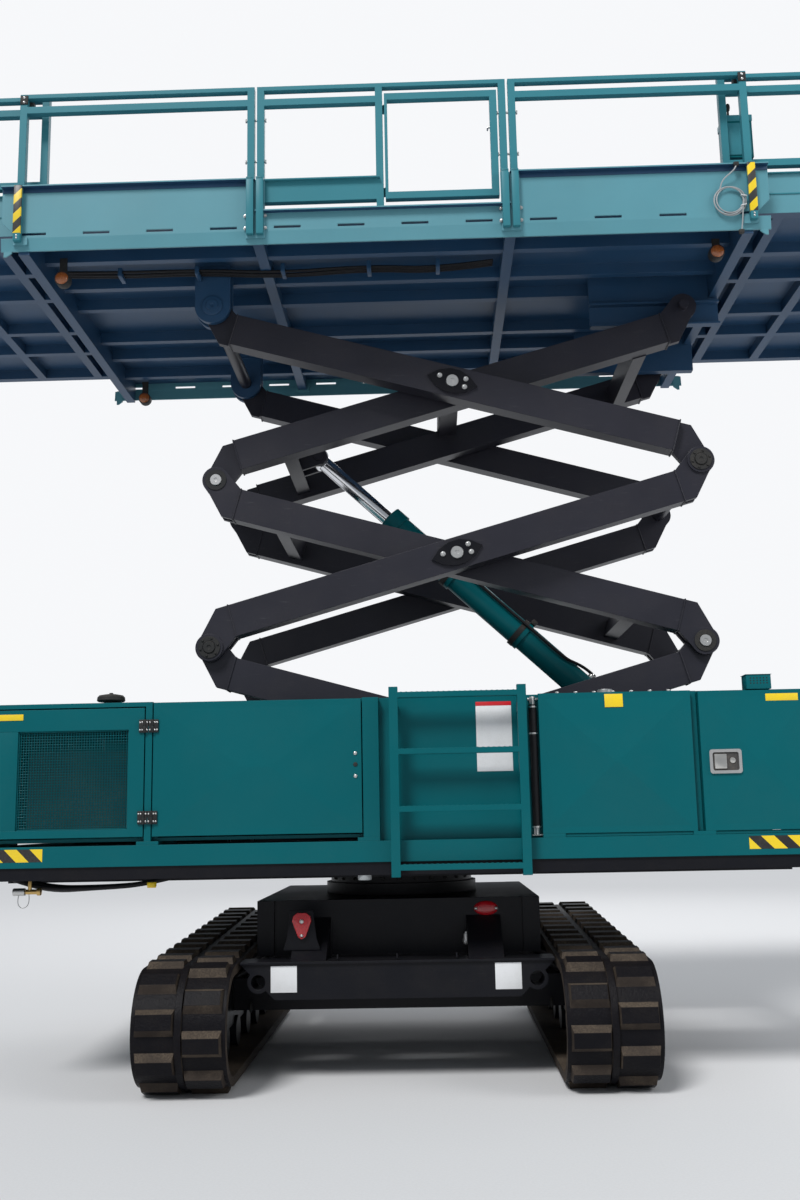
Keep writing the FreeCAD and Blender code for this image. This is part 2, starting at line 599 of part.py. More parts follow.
# Doors: node name, left, right, underside, top, side of the hinges, cabinet it closes,
# and cabinet that carries its hinges.
DOORS = (
    ("grille_door", f"(-{BASE}+cabinet_wall)", "(post_left-post_wide/2)", "door_low", "door_high", 1,
     "engine_bay", "engine_bay"),
    ("plain_door", "(post_left+post_wide/2)", "(bay_left-stile_wide)", "door_low", "cabinet_top", -1,
     "locker_left", "engine_bay"),
    ("latch_door", "locker_left", f"({BASE}-cabinet_wall)", "(cabinet_low-door_gap)", "cabinet_top", 1,
     "locker_right", "locker_right"),
)


def door_hinges(edge, side):
    """Two butt hinges on the front: the leaf's halves and the frame's halves."""
    axis = f"({edge}-{side}*door_gap/2)"
    leaf, frame = [], []
    for middle in ("door_low+hinge_inset", "door_high-hinge_inset"):
        for parts, half, z in ((leaf, -side, middle), (frame, side, f"{middle}-hinge_tall/2-seat_gap")):
            plate_x = axis if half > 0 else f"{axis}-hinge_wide/2"
            parts.append(block(("hinge_wide/2", "hinge_thick", "hinge_tall/2"), (plate_x, f"{FRONT}-hinge_thick", z)))
            parts.append(rod("hinge_thick", "hinge_tall/2", (axis, f"{FRONT}-hinge_thick", z), "z"))
    return leaf, frame


def frame_hinges(cabinet):
    """The cabinet's halves of the hinges that it carries."""
    return [part for name, left, right, low, high, side, closes, carrier in DOORS if carrier == cabinet
            for part in door_hinges(right if side > 0 else left, side)[1]]


def door_recess(cabinet):
    """Room in a cabinet's front for its door, open below and, where the door ends at the top, above."""
    for name, left, right, low, high, side, closes, carrier in DOORS:
        if closes == cabinet:
            over = "work_gap" if high == "cabinet_top" else "0"
            return block((f"{right}-{left}", "door_thick+door_gap+work_gap", f"{high}+{over}-cabinet_low+work_gap"),
                         (left, f"{FRONT}-work_gap", "cabinet_low-work_gap"))


def cabinet_box(left, right, depth="cabinet_depth"):
    return block((f"{right}-({left})", depth, "cabinet_top-cabinet_low"), (left, FRONT, "cabinet_low"))


def locker(left, right, cabinet):
    """Hollow cabinet on the front with an opening for its door."""
    room = block((f"{right}-({left})-2*cabinet_wall", "cabinet_depth-cabinet_wall+work_gap", "door_high-door_low"),
                 (f"{left}+cabinet_wall", f"{FRONT}-work_gap", "door_low"))
    stile = block((f"{right}-({DOORS[1][2]})", "cabinet_wall", "cabinet_top-cabinet_low"),
                  (DOORS[1][2], FRONT, "cabinet_low"))
    shell = cut(cabinet_box(left, right), room, door_recess(cabinet))
    return fuse(shell, stile) if cabinet == "locker_left" else fuse(shell, *frame_hinges(cabinet))


def build_cabinets():
    left_end = f"(-{BASE})"
    post = "(post_left-post_wide/2)"
    room = block((f"{post}-{left_end}-2*cabinet_wall", "base_width+2*work_gap", "door_high-door_low"),
                 (f"{left_end}+cabinet_wall", f"{FRONT}-work_gap", "door_low"))
    bay = cut(cabinet_box(left_end, post, "base_width"), room, *both(door_recess("engine_bay")))
    edge_parts = [cabinet_box(post, f"{post}+post_wide"), *frame_hinges("engine_bay")]
    node("engine_bay", fuse(bay, *[half for part in edge_parts for half in both(part)]))
    cabinets = (("left", f"({post}+post_wide)", "bay_left"), ("right", "locker_left", BASE))
    for hand, left, right in cabinets:
        front = locker(left, right, f"locker_{hand}")
        node(f"locker_front_{hand}", front)
        node(f"locker_back_{hand}", mirrored(front, "y"))
    crown = taper(("tank_right-bay_right-2*crown_inset", "cabinet_top-cabinet_low-2*crown_inset"),
                  ("crown_inset", "crown_inset/2"), "tank_crown",
                  ("(tank_right+bay_right)/2", FRONT, "(cabinet_top+cabinet_low)/2"), FACING)
    post_right = block(("locker_left-tank_right", "cabinet_depth-crown_inset", "cabinet_top-cabinet_low"),
                       ("tank_right", f"{FRONT}+crown_inset", "cabinet_low"))
    tank = fuse(cabinet_box("bay_right", "tank_right"), crown, post_right)
    node("tank_front", tank)
    node("tank_back", mirrored(tank, "y"))
    # Feet: left side.
    feet = [block(("foot_long", "cabinet_depth", "cabinet_low-skirt_high"), (x, FRONT, "skirt_high"))
            for x in (left_end, "post_left-foot_long/2", "bay_left-foot_long", "bay_right",
                      "locker_left-foot_long/2", f"{BASE}-foot_long")]
    node("cabinet_feet", group(*[half for foot in feet for half in both(foot)]))
    node("ladder_panel", block(("bay_right-bay_left", "cabinet_wall", "cabinet_top-skirt_high"),
                               ("bay_left", f"{FRONT}+panel_back", "skirt_high")))
    node("battery_box", block(("bay_right-bay_left", "cabinet_depth", "cabinet_top-skirt_high"),
                              ("bay_left", "base_width/2-cabinet_depth", "skirt_high")))
    node("engine_block", block(("engine_long", "engine_wide", "engine_tall"),
                               (f"{left_end}+3*cabinet_wall", "-engine_wide/2", "door_low")))
    fitting_y = f"({FRONT}+fitting_back)"
    cap = fuse(rod("cap_radius", "cap_tall/2", ("cap_place", fitting_y, "cabinet_top+cap_tall/2"), "z"),
               rod("cap_radius/2", "cap_tall/2", ("cap_place", fitting_y, "cabinet_top"), "z"))
    filler = rod("cap_radius*0.6", "cap_tall", ("(tank_right+bay_right)/2", fitting_y, "cabinet_top"), "z")
    box = block(("horn_box", "horn_box*0.75", "horn_box*0.6"), ("locker_left+cabinet_depth/2", FRONT, "cabinet_top"))
    node("roof_fittings", group(cap, filler, box))


def lattice(left, low, wide, tall):
    """Crossed bars of a grille, from a corner of its opening."""
    bars = []
    across, upright = 14, 11
    for i in range(1, across):
        bars.append(block(("grille_bar", "grille_bar", tall),
                          (f"{left}+{wide}*{i}/{across}-grille_bar/2", f"{FRONT}+grille_back", low)))
    for i in range(1, upright):
        bars.append(block((wide, "grille_bar", "grille_bar"),
                          (left, f"{FRONT}+grille_back", f"{low}+{tall}*{i}/{upright}-grille_bar/2")))
    return bars


def build_doors():
    for name, left, right, low, high, side, closes, carrier in DOORS:
        wide = f"({right}-{left}-2*door_gap)"
        tall = f"({high}-{low}-2*door_gap)"
        leaf = block((wide, "door_thick", tall), (f"{left}+door_gap", FRONT, f"{low}+door_gap"))
        if name == "grille_door":
            hole_left = f"({left}+door_gap+grille_side)"
            hole_low = "(door_low+door_gap+grille_foot)"
            hole_wide = f"({wide}-2*grille_side)"
            hole_tall = f"({tall}-grille_foot-grille_head)"
            hole = block((hole_wide, "door_thick+2*work_gap", hole_tall), (hole_left, f"{FRONT}-work_gap", hole_low))
            leaf = cut(leaf, hole)
            mesh = fuse(*lattice(hole_left, hole_low, hole_wide, hole_tall))
            node("grille_mesh_front", mesh)
            node("grille_mesh_back", mirrored(mesh, "y"))
        else:
            ridge = "crown_ridge" if name == "plain_door" else "crown_inset"
            crown = taper((f"{wide}-2*crown_inset", f"{tall}-2*crown_inset"), (ridge, "work_gap"),
                          "door_crown", (f"({left}+{right})/2", FRONT, f"({low}+{high})/2"), FACING)
            leaf = fuse(leaf, crown)
        leaf = fuse(leaf, *door_hinges(right if side > 0 else left, side)[0])
        node(name + "_front", leaf)
        node(name + "_back", mirrored(leaf, "y"))


def build_ladder():
    near = f"({FRONT}-ladder_off)"
    parts = []
    for x in ("ladder_left", "ladder_left+ladder_wide-ladder_post"):
        parts.append(block(("ladder_post", "ladder_post", "ladder_high-ladder_low"), (x, near, "ladder_low")))
        # Stand-offs to the side beam and to the panel behind the ladder.
        for z, reach in (("skirt_low", "ladder_off"), ("cabinet_top-2*ladder_post", "ladder_off+panel_back")):
            parts.append(block(("ladder_post", f"{reach}-ladder_post", "ladder_post"),
                               (x, f"{near}+ladder_post", z)))
    for i in range(4):
        z = f"rung_first+{i}*rung_pitch-rung_thick/2"
        tread = block(("ladder_wide-2*ladder_post", "rung_deep", "rung_thick"), ("ladder_left+ladder_post", near, z))
        groove = block(("ladder_wide-2*ladder_post", "rung_deep-2*rung_wall", "rung_thick-rung_wall"),
                       ("ladder_left+ladder_post", f"{near}+rung_wall", z))
        parts.append(cut(tread, groove))
    node("ladder", fuse(*parts))


# Arms: node name, slope (1 rises to the right), stage, inner face, left end, right end.
ARMS = (
    ("inner_arms_1", 1, 1, "inner_arm", "axle", "lug"),
    ("outer_arms_1", -1, 1, "outer_arm", "lug", "roller"),
    ("outer_arms_2", 1, 2, "outer_arm", "fork", "fork"),
    ("inner_arms_2", -1, 2, "inner_arm", "fork", "fork"),
    ("outer_arms_3", -1, 3, "outer_arm", "axle", "lug"),
    ("inner_arms_3", 1, 3, "inner_arm", "lug", "roller"),
)
# Cross tubes of the inner frames: place along the arm and above its axis, side of the
# cylinder's pin in front of it (0 for none), by node name.
TIES = {
    "inner_arms_1": (("-(arm_half-tie_far)", "0", 0), (f"({FOOT}+tie_behind)", "0", 1)),
    "inner_arms_2": (("-(arm_half-tie_near)", "0", 0), ("(arm_half-tie_near)", "0", 0)),
    "inner_arms_3": ((f"-({FOOT}+tie_behind)", "0", -1), ("(arm_half-tie_far)", "-tie_sunk", 0)),
}


def arm_end(side, slope, face, kind):
    """One end's fitting on the front side, its solids and its bores, along an arm that lies level."""
    pin_x = f"({side}*arm_half)"
    pin_z = f"({side * slope}*pin_offset)"
    up = side * slope

    def point(x, z):
        return (f"{side}*({x})", f"{up}*({z})")

    outline = (
        point("arm_half-arm_stop-fitting_lap", "-arm_deep/2"),
        point("arm_half-arm_stop+fitting_toe", "-arm_deep/2"),
        point("arm_half+tip_reach*0.96", "pin_offset-tip_reach*0.3"),
        point("arm_half", "pin_offset"),
        point("arm_half-tip_reach*0.43", "pin_offset+tip_reach*0.9"),
        point("arm_half-arm_stop", "arm_deep/2"),
        point("arm_half-arm_stop-fitting_lap", "arm_deep/2"),
    )
    lug_wide = "(arm_wide-2*fork_plate-2*work_gap)"
    layers = {"fork": ((face, "fork_plate"), (f"{face}+arm_wide-fork_plate", "fork_plate"))}
    solids = []
    for y, thick in layers.get(kind, ((f"{face}+fork_plate+work_gap", lug_wide),)):
        solids += [prism(outline, thick, (0, y, 0)), rod("tip_reach", thick, (pin_x, y, pin_z))]
    if kind == "fork" and face == "outer_arm":
        solids.append(rod("boss_radius", "lens_thick", (pin_x, f"{face}+arm_wide", pin_z)))
    if kind == "lug":
        return solids, [rod("pin_radius+seat_gap", "arm_wide", (pin_x, face, pin_z))]
    wheel = {"inner_arm": f"({face}-{WHEEL_OFF}-wheel_width)", "outer_arm": f"({face}+arm_wide+{WHEEL_OFF})"}[face]
    if kind == "roller" and face == "inner_arm":
        start = f"({wheel}+pin_beyond)"
        solids.append(rod("pin_radius", f"{face}+arm_wide+pin_beyond-{start}", (pin_x, start, pin_z)))
    else:
        beyond = "lens_thick+pin_beyond" if face == "outer_arm" and kind == "fork" else "pin_beyond"
        end = f"{wheel}+wheel_width-pin_beyond" if kind == "roller" else f"{face}+arm_wide+{beyond}"
        solids.append(rod("pin_radius", end, (pin_x, 0, pin_z)))
        solids.append(rod("shaft_radius", f"{face}-work_gap", (pin_x, 0, pin_z)))
    if kind == "roller":
        solids.append(rod("wheel_radius", "wheel_width", (pin_x, wheel, pin_z)))
    return solids, []


def lens_plate(face):
    """Pointed bearing plate on an outer arm's middle."""
    corners = ((1, 0), (0.62, 0.66), (0.2, 1), (-0.2, 1), (-0.62, 0.66))
    outline = [(f"{x}*lens_long", f"{z}*lens_tall") for x, z in corners]
    outline += [(f"{-x}*lens_long", f"{-z}*lens_tall") for x, z in corners]
    return prism(outline, "lens_thick", (0, f"{face}+arm_wide", 0))


def build_arms():
    for name, slope, stage, face, left, right in ARMS:
        length = "(2*(arm_half-arm_stop))"
        beam = cut(block((length, "arm_wide", "arm_deep"), (f"-{length}/2", face, "-arm_deep/2")),
                   block((f"{length}-2*arm_wall", "arm_wide-2*arm_wall", "arm_deep-2*arm_wall"),
                         (f"-{length}/2+arm_wall", f"{face}+arm_wall", "-arm_deep/2+arm_wall")))
        solids, holes = [beam], []
        for side, kind in ((-1, left), (1, right)):
            fitting, bores = arm_end(side, slope, face, kind)
            solids += fitting
            holes += bores
        if face == "inner_arm":
            pin_start = f"({face}+arm_wall)"
            pin_end = "(outer_arm+arm_wide+lens_thick+pin_beyond)"
            solids.append(rod("pin_radius", f"{pin_end}-{pin_start}", (0, pin_start, 0)))
            solids.append(rod("collar_radius", f"outer_arm-work_gap-({face}+arm_wide)", (0, f"{face}+arm_wide", 0)))
        else:
            solids += [lens_plate(face), rod("middle_tube", "arm_wide", (0, face, 0))]
            holes.append(rod("pin_radius+seat_gap", "arm_wide+lens_thick+2*work_gap", (0, f"{face}-work_gap", 0)))
        for along, above, pin_side in TIES.get(name, ()):
            solids.append(block(("tie_long", "inner_arm+arm_wall", "tie_deep"),
                                (f"{along}-tie_long/2", 0, f"{above}-tie_deep/2")))
            if pin_side:
                solids.append(cylinder_ear(along, pin_side))
        if name == "inner_arms_1":
            solids.append(rod("cylinder_pin", "eye_wide/2+work_gap+lug_thick", (FOOT, 0, 0)))
        if name == "inner_arms_3":
            solids.append(block(("tie_flat", "inner_arm+arm_wall", "tie_flat_deep"),
                                ("-tie_flat/2", 0, "arm_deep/2-tie_flat_deep")))
        half = cut(fuse(*solids), *holes) if holes else fuse(*solids)
        whole = fuse(*both(half))
        angle = f"{slope}*rest_angle"
        node(name, place(whole, (MIDDLE_X, 0, f"pivot_high+{RISE}*{stage - 0.5}"), (0, -1, 0), angle))


def cylinder_ear(along, side):
    """Ear that holds the cylinder's pin, from the cross tube towards the middle of the arm."""
    pin = f"{side}*{FOOT}"
    y = "(eye_wide/2+work_gap)"
    outline = ((along, "tie_deep/2"), (pin, "cylinder_ear"), (pin, "-cylinder_ear"), (along, "-tie_deep/2"))
    return fuse(prism(outline if side < 0 else outline[::-1], "lug_thick", (0, y, 0)),
                rod("cylinder_ear", "lug_thick", (pin, y, 0)),
                rod("cylinder_pin", "lug_thick", (pin, f"{y}+lug_thick/2", 0)))


def build_cylinder():
    """Lift cylinder from the first inner frame to the third, along its own X before it is turned."""
    reach_x = f"(2*{FOOT}*cos(rest_angle))"
    reach_z = f"(2*{RISE}-2*{FOOT}*sin(rest_angle))"
    tilt = f"(180 deg-atan({reach_z}/{reach_x}))"
    length = f"sqrt({reach_x}*{reach_x}+{reach_z}*{reach_z})"
    foot = (f"{MIDDLE_X}+{FOOT}*cos(rest_angle)", 0,
            f"pivot_high+{RISE}/2+{FOOT}*sin(rest_angle)")
    outer = "(barrel_radius+gland_out)"
    rings = [("gland_ring", "barrel_length-gland_ring"), ("band_long", "barrel_length-band_places"),
             ("band_long", "barrel_length-2*band_places")]
    barrel = cut(
        fuse(rod("barrel_radius", "barrel_length-barrel_start", ("barrel_start", 0, 0), "x"),
             *[rod(outer, long, (x, 0, 0), "x") for long, x in rings],
             rod("cylinder_eye", "eye_wide", (0, "-eye_wide/2", 0)),
             block(("barrel_start+gland_out", "eye_wide", "2*cylinder_eye-2*gland_out"),
                   (0, "-eye_wide/2", "gland_out-cylinder_eye"))),
        rod("cylinder_pin+seat_gap", "eye_wide+2*work_gap", (0, "-eye_wide/2-work_gap", 0)),
        rod("barrel_bore", "barrel_length-barrel_start-barrel_bottom-gland_long",
            ("barrel_start+barrel_bottom", 0, 0), "x"),
        rod("rod_radius+seat_gap", "gland_long+2*work_gap", ("barrel_length-gland_long-work_gap", 0, 0), "x"))
    node("cylinder_barrel", place(barrel, foot, (0, -1, 0), tilt))
    stem = fuse(rod("rod_radius", "rod_length", (f"{length}-rod_length", 0, 0), "x"),
                rod("barrel_bore-seat_gap", "gland_long", (f"{length}-rod_length", 0, 0), "x"),
                rod("cylinder_eye", "eye_wide", (length, "-eye_wide/2", 0)))
    node("cylinder_rod", place(stem, foot, (0, -1, 0), tilt))


INSIDE = "(deck_side-plate_thick)"
BEAM_END = f"({INSIDE}-lip_lean)"


def build_deck():
    parts = [block((f"2*{DECK_END}", f"2*{INSIDE}", "floor_thick"),
                   (f"-{DECK_END}", f"-{INSIDE}", f"{DECK}+floor_rise"))]
    # Cross beams: left side and whether they hang below the underside.
    beams = ((f"-{DECK_END}", 1), ("-panel_break-beam_wide/2", 0), ("panel_break-beam_wide/2", 0),
             (f"{DECK_END}-beam_wide", 1))
    for x, hangs in beams:
        parts.append(block(("beam_wide", f"2*{BEAM_END}", f"floor_rise+{hangs}*end_beam"),
                           (x, f"-{BEAM_END}", f"{DECK}-{hangs}*end_beam")))
    for y in ("strip_inner", "outer_arm-strip_wide", "strip_outer"):
        strip = block((f"2*{DECK_END}", "strip_wide", "strip_tall"),
                      (f"-{DECK_END}", y, f"{DECK}+floor_rise-strip_tall"))
        parts += both(strip)
    # Ears for the upper left pins.
    for y in ("outer_arm", "outer_arm+arm_wide-fork_plate"):
        plate = fuse(block(("2*deck_ear", "fork_plate", f"{DECK}+floor_rise-{TOP}"),
                           ("pivot_left-deck_ear", y, TOP)),
                     rod("deck_ear", "fork_plate", ("pivot_left", y, TOP)))
        parts += both(cut(plate, pin_hole("pivot_left", y, TOP)))
    # Channels that the upper rollers push up against.
    start = "(pivot_left+channel_start)"
    run = f"({RIGHT_X}+channel_beyond-{start})"
    near = f"(inner_arm-{WHEEL_OFF}-wheel_width-work_gap-flange_thick)"
    wide = "(wheel_width+2*work_gap+flange_thick)"
    lower_z = f"({TOP}-wheel_radius-work_gap-flange_thick)"
    upper = block((run, wide, "flange_thick"), (start, near, f"{TOP}+wheel_radius+seat_gap"))
    lower = block((run, wide, "flange_thick"), (start, near, lower_z))
    web = block((run, "flange_thick", f"{DECK}+floor_rise-{lower_z}"), (start, near, lower_z))
    parts += both(fuse(upper, lower, web))
    node("deck", fuse(*parts))


# Side panels along X, by the middles of their posts.
PANELS = ((f"-{POST_END}", "-panel_break-panel_pair"), ("-panel_break+panel_pair", "panel_break-panel_pair"),
          ("panel_break+panel_pair", POST_END))
PLATE_LOW = f"({DECK}-plate_hang)"
FOLD = f"({PLATE_LOW}+fold_rise)"


def side_plate(left, right, tall):
    """Folded side plate on the front: leaning lip, web and outward flange in YZ, then drain slots."""
    face = "-deck_side"
    top = f"{DECK}+{tall}"
    outline = (
        (f"{face}+lip_lean", PLATE_LOW), (f"{face}+lip_lean+plate_thick", PLATE_LOW),
        (f"{face}+plate_thick", FOLD), (f"{face}+plate_thick", top),
        (f"{face}-plate_flange", top), (f"{face}-plate_flange", f"{top}-plate_thick"),
        (face, f"{top}-plate_thick"), (face, FOLD),
    )
    web = prism(outline, f"{right}-({left})", (left, 0, 0), "yz")
    slots = []
    for share in (0.125, 0.375, 0.625, 0.875):
        x = f"{left}+({right}-({left}))*{share}-slot_long/2"
        slots.append(block(("slot_long", "plate_thick+2*work_gap", "slot_tall"),
                           (x, f"{face}-work_gap", f"{FOLD}+slot_over")))
    return cut(web, *slots)


def plate_fittings():
    """Sockets, brackets and a hook on the front side plate's right half."""
    face = "(-deck_side-socket_out)"
    lip = f"(-deck_side+lip_lean+plate_thick-{face})"
    edge = f"({DECK_END}+panel_beyond)"
    foot = f"({FOLD}-socket_foot)"
    hook = ((f"{edge}-hook_long", PLATE_LOW), (f"{edge}-hook_long", f"{PLATE_LOW}-plate_thick"),
            (f"{edge}-hook_long/2", f"{PLATE_LOW}-hook_long/2"), (f"{edge}-hook_long/4", f"{PLATE_LOW}-hook_long/2"),
            (f"{edge}-hook_long/4", FOLD), (f"{edge}-hook_long", FOLD))
    return [
        block(("2*socket_wide", "socket_out", f"{DECK}+plate_tall-{FOLD}"), ("panel_break-socket_wide", face, FOLD)),
        block(("2*socket_wide", lip, "socket_foot"), ("panel_break-socket_wide", face, foot)),
        block(("socket_wide*1.5", lip, "socket_foot"), (f"{POST_END}-socket_wide", face, foot)),
        prism(hook, "plate_thick", (0, "-deck_side+lip_lean", 0)),
    ]


def rail_panel(left, right, y, low, top, bars):
    """Two posts and their tubes: left and right are the posts' middles, y the panel's outer face."""
    tube = "rail_tube"
    parts = [block((tube, tube, f"{top}-({low})"), (f"{x}-{tube}/2", y, low)) for x in (left, right)]
    parts.append(block((f"{right}-({left})", tube, "hand_rail"), (left, y, f"{top}-hand_rail")))
    for z in (f"{top}-rail_step-{tube}", *bars):
        parts.append(block((f"{right}-({left})", tube, tube), (left, y, z)))
    return fuse(*parts)


def build_sides():
    edge = f"({DECK_END}+panel_beyond)"
    middle = side_plate("-panel_break", "panel_break", "entry_tall")
    wing = side_plate("panel_break", edge, "plate_tall")
    corner = prism(((edge, FOLD), (edge, f"{FOLD}+corner_cut"), (f"{edge}-corner_cut", FOLD)),
                   "lip_lean+plate_thick+work_gap", (0, "-deck_side", 0))
    wings = both(fuse(cut(wing, corner), *plate_fittings()), "x")
    front = fuse(middle, *wings)
    node("side_plate_front", front)
    node("side_plate_back", mirrored(front, "y"))
    y = f"(-{INSIDE})"
    tube = "rail_tube"
    top = f"({DECK}+rail_rise)"
    kick = f"({DECK}+kick_rise)"
    rear = [mirrored(rail_panel(left, right, y, FLOOR, top, ()), "y") for left, right in PANELS]
    node("rails_back", group(*rear))
    # The middle front panel: its right half is the way in, closed by the gate.
    left, right = PANELS[1]
    gate_post = "(panel_pair-rail_tube)"
    middle = fuse(rail_panel(left, gate_post, y, FLOOR, top, (kick,)),
                  block((f"{gate_post}-({left})", "plate_thick", f"{DECK}+plate_tall-{kick}"), (left, y, kick)),
                  block((f"{gate_post}+panel_break-socket_wide", "plate_flange", "plate_thick"),
                        ("-panel_break+socket_wide", f"{y}-plate_flange+plate_thick",
                         f"{DECK}+plate_tall-plate_thick")),
                  block((tube, tube, f"{top}-{FLOOR}"), (f"{right}-{tube}/2", y, FLOOR)),
                  block((f"{right}-({gate_post})", tube, "hand_rail"), (gate_post, y, f"{top}-hand_rail")))
    # Gate on two lift-off hinges inside the post: it swings in.
    pin_x = f"({gate_post}+{tube}/2+work_gap)"
    pin_y = f"({y}+{tube}+gate_pin+work_gap)"
    leaf_left = f"({pin_x}+work_gap)"
    leaf_right = f"({right}-{tube}/2-2*work_gap)"
    leaf_top = f"({top}-hand_rail-{tube})"
    leaf = [block(("gate_stile", tube, f"{leaf_top}-{kick}"), (leaf_left, y, kick)),
            block((tube, tube, f"{leaf_top}-{kick}"), (f"{leaf_right}-{tube}", y, kick))]
    for z in (kick, f"{leaf_top}-{tube}"):
        leaf.append(block((f"{leaf_right}-{leaf_left}", tube, tube), (leaf_left, y, z)))
    knuckle = "(2*gate_pin)"
    for z in (f"{kick}+3*{knuckle}", f"{leaf_top}-3*{knuckle}"):
        leaf.append(rod("gate_pin", knuckle, (pin_x, pin_y, z), "z"))
        leaf.append(block(("gate_stile/2+work_gap", f"{pin_y}-{y}-{tube}+gate_pin", knuckle),
                          (pin_x, f"{y}+{tube}", z)))
        lower = f"{z}-{knuckle}-seat_gap"
        middle = fuse(middle, rod("gate_pin", knuckle, (pin_x, pin_y, lower), "z"),
                      block((f"{tube}/2+work_gap", "work_gap+gate_pin", knuckle), (gate_post, f"{y}+{tube}", lower)))
    node("gate", fuse(*leaf))
    panels = [rail_panel(left, right, y, FLOOR, top, ()) for left, right in (PANELS[0], PANELS[2])]
    node("rails_front", group(panels[0], middle, panels[1]))


def build_extensions():
    """Right extension deck, run out, and its mirror image on the left."""
    low = f"({FLOOR}+seat_gap)"
    right_end = f"({EXT_START}+ext_length)"
    parts = [block(("ext_length", "2*ext_half", "floor_thick"), (EXT_START, "-ext_half", f"{low}+ext_frame")),
             block(("plate_thick", "2*ext_half", "ext_toe"), (f"{right_end}-plate_thick", "-ext_half", low))]
    parts += both(fuse(block(("ext_length", "beam_wide", "ext_frame"), (EXT_START, "-ext_half", low)),
                       block(("ext_length", "plate_thick", "ext_toe"), (EXT_START, "-ext_half", low))))
    for i in range(4):
        parts.append(block(("beam_wide", "2*ext_half-beam_wide", "ext_frame"),
                           (f"{EXT_START}+(ext_length-beam_wide)*{i}/3", "-ext_half+beam_wide/2", low)))
    for share in (0.21, 0.53):
        parts += both(block(("ext_length", "strip_wide", "ext_frame"), (EXT_START, f"ext_half*{share}", low)))
    deck = fuse(*parts)
    node("extension_right", deck)
    node("extension_left", mirrored(deck, "x"))
    y = "(-ext_half+plate_thick)"
    foot = f"({low}+ext_frame+floor_thick)"
    top = f"({DECK}+ext_rise)"
    bar = f"({DECK}+ext_middle)"
    first_post = f"({EXT_START}+ext_post)"
    end_face = f"({right_end}-plate_thick)"
    side = rail_panel(first_post, f"({end_face}-rail_tube/2)", y, foot, top, (bar,))
    end = [block(("rail_tube", f"-2*{y}", tall), (f"{end_face}-rail_tube", y, z))
           for z, tall in ((f"{top}-hand_rail", "hand_rail"), (f"{top}-rail_step-rail_tube", "rail_tube"),
                           (bar, "rail_tube"))]
    end.append(block(("rail_tube", "rail_tube", f"{top}-{foot}"), (f"{end_face}-rail_tube", "-rail_tube/2", foot)))
    rails = fuse(*both(side), *end)
    node("extension_rails_right", rails)
    node("extension_rails_left", mirrored(rails, "x"))
    node("control_box", block(("box_wide", "box_deep", "box_tall"),
                              (f"{EXT_START}+box_place", f"{y}+rail_tube", f"{DECK}+box_rise")))


def build_cable():
    """Control cable: a coil on the side plate's front, with its two ends."""
    x = f"({DECK_END}-coil_place)"
    z = f"({DECK}+coil_rise)"
    y = "(-deck_side-socket_out-cable_radius-seat_gap)"
    ring = bind(doc.addObject("Part::Torus", "coil"), Radius1="coil_radius", Radius2="cable_radius")
    place(ring, (x, y, z), (1, 0, 0), 90)
    up = rod("cable_radius", f"{DECK}+plate_tall-plate_thick-{z}-coil_radius", (x, y, f"{z}+coil_radius"), "z")
    down = rod("cable_radius", f"{z}-{PLATE_LOW}", (f"{x}+coil_radius", y, PLATE_LOW), "z")
    node("control_cable", fuse(ring, up, down))


def write_parts():
    doc.recompute()
    os.makedirs("parts", exist_ok=True)
    broken = [thing.Label for thing in doc.Objects if {"Invalid", "Error"} & set(thing.State)]
    if broken:
        raise RuntimeError("failed to build: " + ", ".join(broken))
    for thing in NODES:
        if thing.Shape.isNull() or not thing.Shape.isValid() or not thing.Shape.Solids:
            raise RuntimeError("bad shape: " + thing.Label)
        thing.Shape.exportStep(os.path.join("parts", thing.Label + ".step"))
        print(thing.Label, len(thing.Shape.Solids), "solids")


build_tracks()
build_track_frames()
build_car_body()
build_chassis()
build_pivots()
build_cabinets()
build_doors()
build_ladder()
build_arms()
build_cylinder()
build_deck()
build_sides()
build_extensions()
build_cable()
write_parts()
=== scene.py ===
import json
import math

import bmesh
import bpy
from bpy.props import FloatProperty, FloatVectorProperty, IntProperty, PointerProperty
from mathutils import Matrix, Vector


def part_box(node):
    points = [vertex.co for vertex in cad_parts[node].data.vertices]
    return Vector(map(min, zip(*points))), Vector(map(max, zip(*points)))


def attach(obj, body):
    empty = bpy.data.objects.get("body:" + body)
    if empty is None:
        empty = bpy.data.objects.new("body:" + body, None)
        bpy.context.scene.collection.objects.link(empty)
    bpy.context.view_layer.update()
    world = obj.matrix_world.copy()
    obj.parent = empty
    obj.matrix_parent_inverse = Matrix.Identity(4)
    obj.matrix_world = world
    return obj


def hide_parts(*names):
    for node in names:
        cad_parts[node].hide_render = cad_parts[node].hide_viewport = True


bl_info = {
    "name": "Scissor Lift Dress",
    "version": (1, 0, 0),
    "blender": (4, 5, 0),
    "location": "View3D > Sidebar > Lift",
    "description": "Paint, fittings and studio stage for a crawler scissor lift",
    "category": "Object",
}

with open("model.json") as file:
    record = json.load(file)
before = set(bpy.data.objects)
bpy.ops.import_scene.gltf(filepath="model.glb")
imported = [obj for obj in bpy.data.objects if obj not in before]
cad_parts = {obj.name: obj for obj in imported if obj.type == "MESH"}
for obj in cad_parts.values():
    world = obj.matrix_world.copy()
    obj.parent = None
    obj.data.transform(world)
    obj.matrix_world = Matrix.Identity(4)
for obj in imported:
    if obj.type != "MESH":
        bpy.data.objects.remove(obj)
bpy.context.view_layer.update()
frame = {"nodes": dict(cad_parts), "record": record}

# Sizes and places

